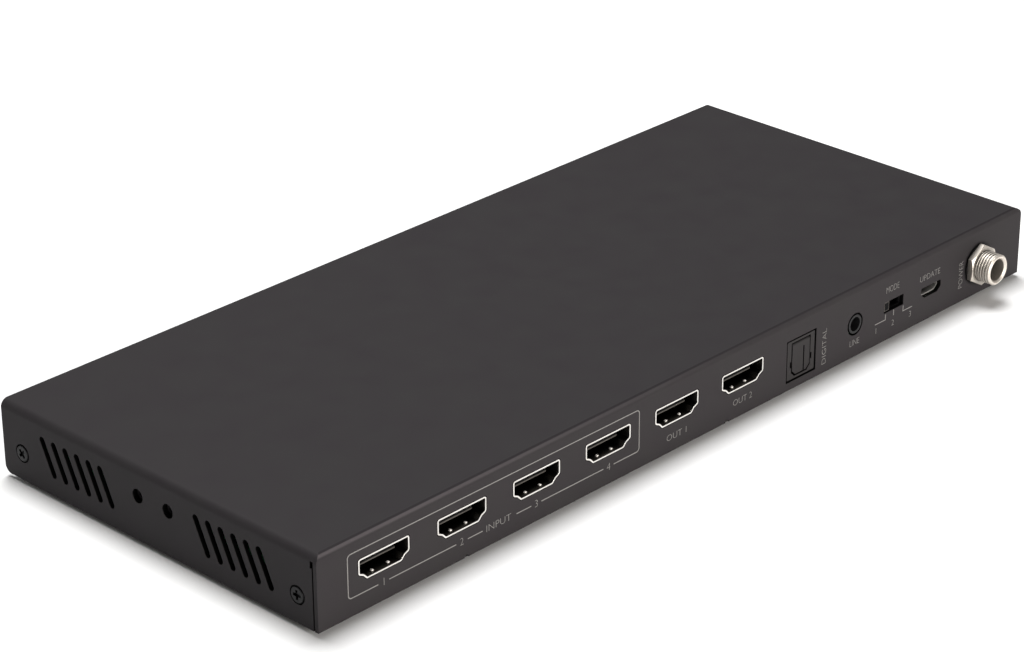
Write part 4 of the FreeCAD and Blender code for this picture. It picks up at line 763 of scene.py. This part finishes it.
def makeNotchShadePips(sizes):
    turn = np.linspace(0, math.pi, sizes["turns"])
    shapes = []
    for x in sizes["x"]:
        rim = np.stack([x + sizes["radius"] * np.cos(turn), floorZ + sizes["radius"] * np.sin(turn)], 1)
        ends = [np.stack([rim[:, 0], np.full(len(rim), rearY - depth), rim[:, 1]], 1)
                for depth in (sizes["front"], sizes["front"] + sizes["length"])]
        faces = gridFaces(2, len(rim), False, True).tolist() + endCaps(len(rim), len(rim))
        shapes.append((np.concatenate(ends), [face[::-1] for face in faces]))
    points, faces = joinShapes(shapes)
    addPiece("notch_shade_pips", points, faces, "glassFilledPolyester")


makeNotchShadePips(notchShadePips)

# A white paper sweep: a soft key stands high behind the object, a low fill skims the rear panel,
# and the pale room does the rest
studio = {"floorSize": 6.0, "world": "#ffffff", "worldStrength": 0.17,
          "paper": {"colour": "#f4f4f4", "second": "#f7f7f7", "rough": (0.85, 0.95), "patch": 40.0,
                    "grain": 1.0, "grainHeight": 0.02, "specular": 0.2},
          # name, place in metres, width and height, watts, tint
          "lights": [("highBehind", (-0.18, -0.35, 1.52), (0.76, 0.76), 30.0, "#ffffff"),
                     ("lowRear", (0.3, 2.2, 0.11), (1.4, 0.2), 83.0, "#fffaf4")]}


def makeStudio(look):
    reach = look["floorSize"] / 2
    corners = [(-reach, -reach, 0), (reach, -reach, 0), (reach, reach, 0), (-reach, reach, 0)]
    mesh = bpy.data.meshes.new("paper_sweep")
    mesh.from_pydata(corners, [], [(0, 1, 2, 3)])
    mesh.materials.append(makeFinish("whiteSweepPaper", look["paper"]))
    floor = bpy.data.objects.new("paper_sweep", mesh)
    bpy.context.scene.collection.objects.link(floor)
    world = bpy.data.worlds.new("studio")
    world.use_nodes = True
    background = world.node_tree.nodes["Background"]
    background.inputs["Color"].default_value = linear(look["world"])
    background.inputs["Strength"].default_value = look["worldStrength"]
    bpy.context.scene.world = world
    for name, place, spread, power, tint in look["lights"]:
        lamp = bpy.data.lights.new(name, "AREA")
        lamp.shape = "RECTANGLE"
        lamp.size, lamp.size_y = spread
        lamp.energy = power
        lamp.color = linear(tint)[:3]
        light = bpy.data.objects.new(name, lamp)
        light.visible_camera = False
        bpy.context.scene.collection.objects.link(light)
        away = np.array(place) / np.linalg.norm(place)
        side = np.cross((0, 1, 0), away)
        side /= np.linalg.norm(side)
        light.matrix_world = placed(place, side, np.cross(away, side), away)


# A 4 by 4 matrix from a place and the three directions that local x, y and z take
def placed(place, x, y, z):
    matrix = np.eye(4)
    matrix[:3, 0], matrix[:3, 1], matrix[:3, 2], matrix[:3, 3] = x, y, z, place
    return Matrix(matrix.tolist())


makeStudio(studio)

# The camera stands behind and beside the vent end, a little above, with a long lens
cameraSizes = {"place": (0.49941, 0.46845, 0.34286), "right": (-0.69228, 0.72161, -0.00524),
               "up": (-0.31684, -0.29742, 0.90064), "back": (0.64835, 0.62516, 0.43453),
               "lens": 112.89, "sensor": 36.0, "clip": (0.02, 20.0)}


def makeCamera(sizes):
    data = bpy.data.cameras.new("camera")
    data.lens, data.sensor_width = sizes["lens"], sizes["sensor"]
    data.clip_start, data.clip_end = sizes["clip"]
    camera = bpy.data.objects.new("camera", data)
    bpy.context.scene.collection.objects.link(camera)
    camera.matrix_world = placed(sizes["place"], sizes["right"], sizes["up"], sizes["back"])
    bpy.context.scene.camera = camera


makeCamera(cameraSizes)
bpy.context.scene.view_settings.view_transform = "Standard"
print("studio set")

bpy.context.view_layer.update()
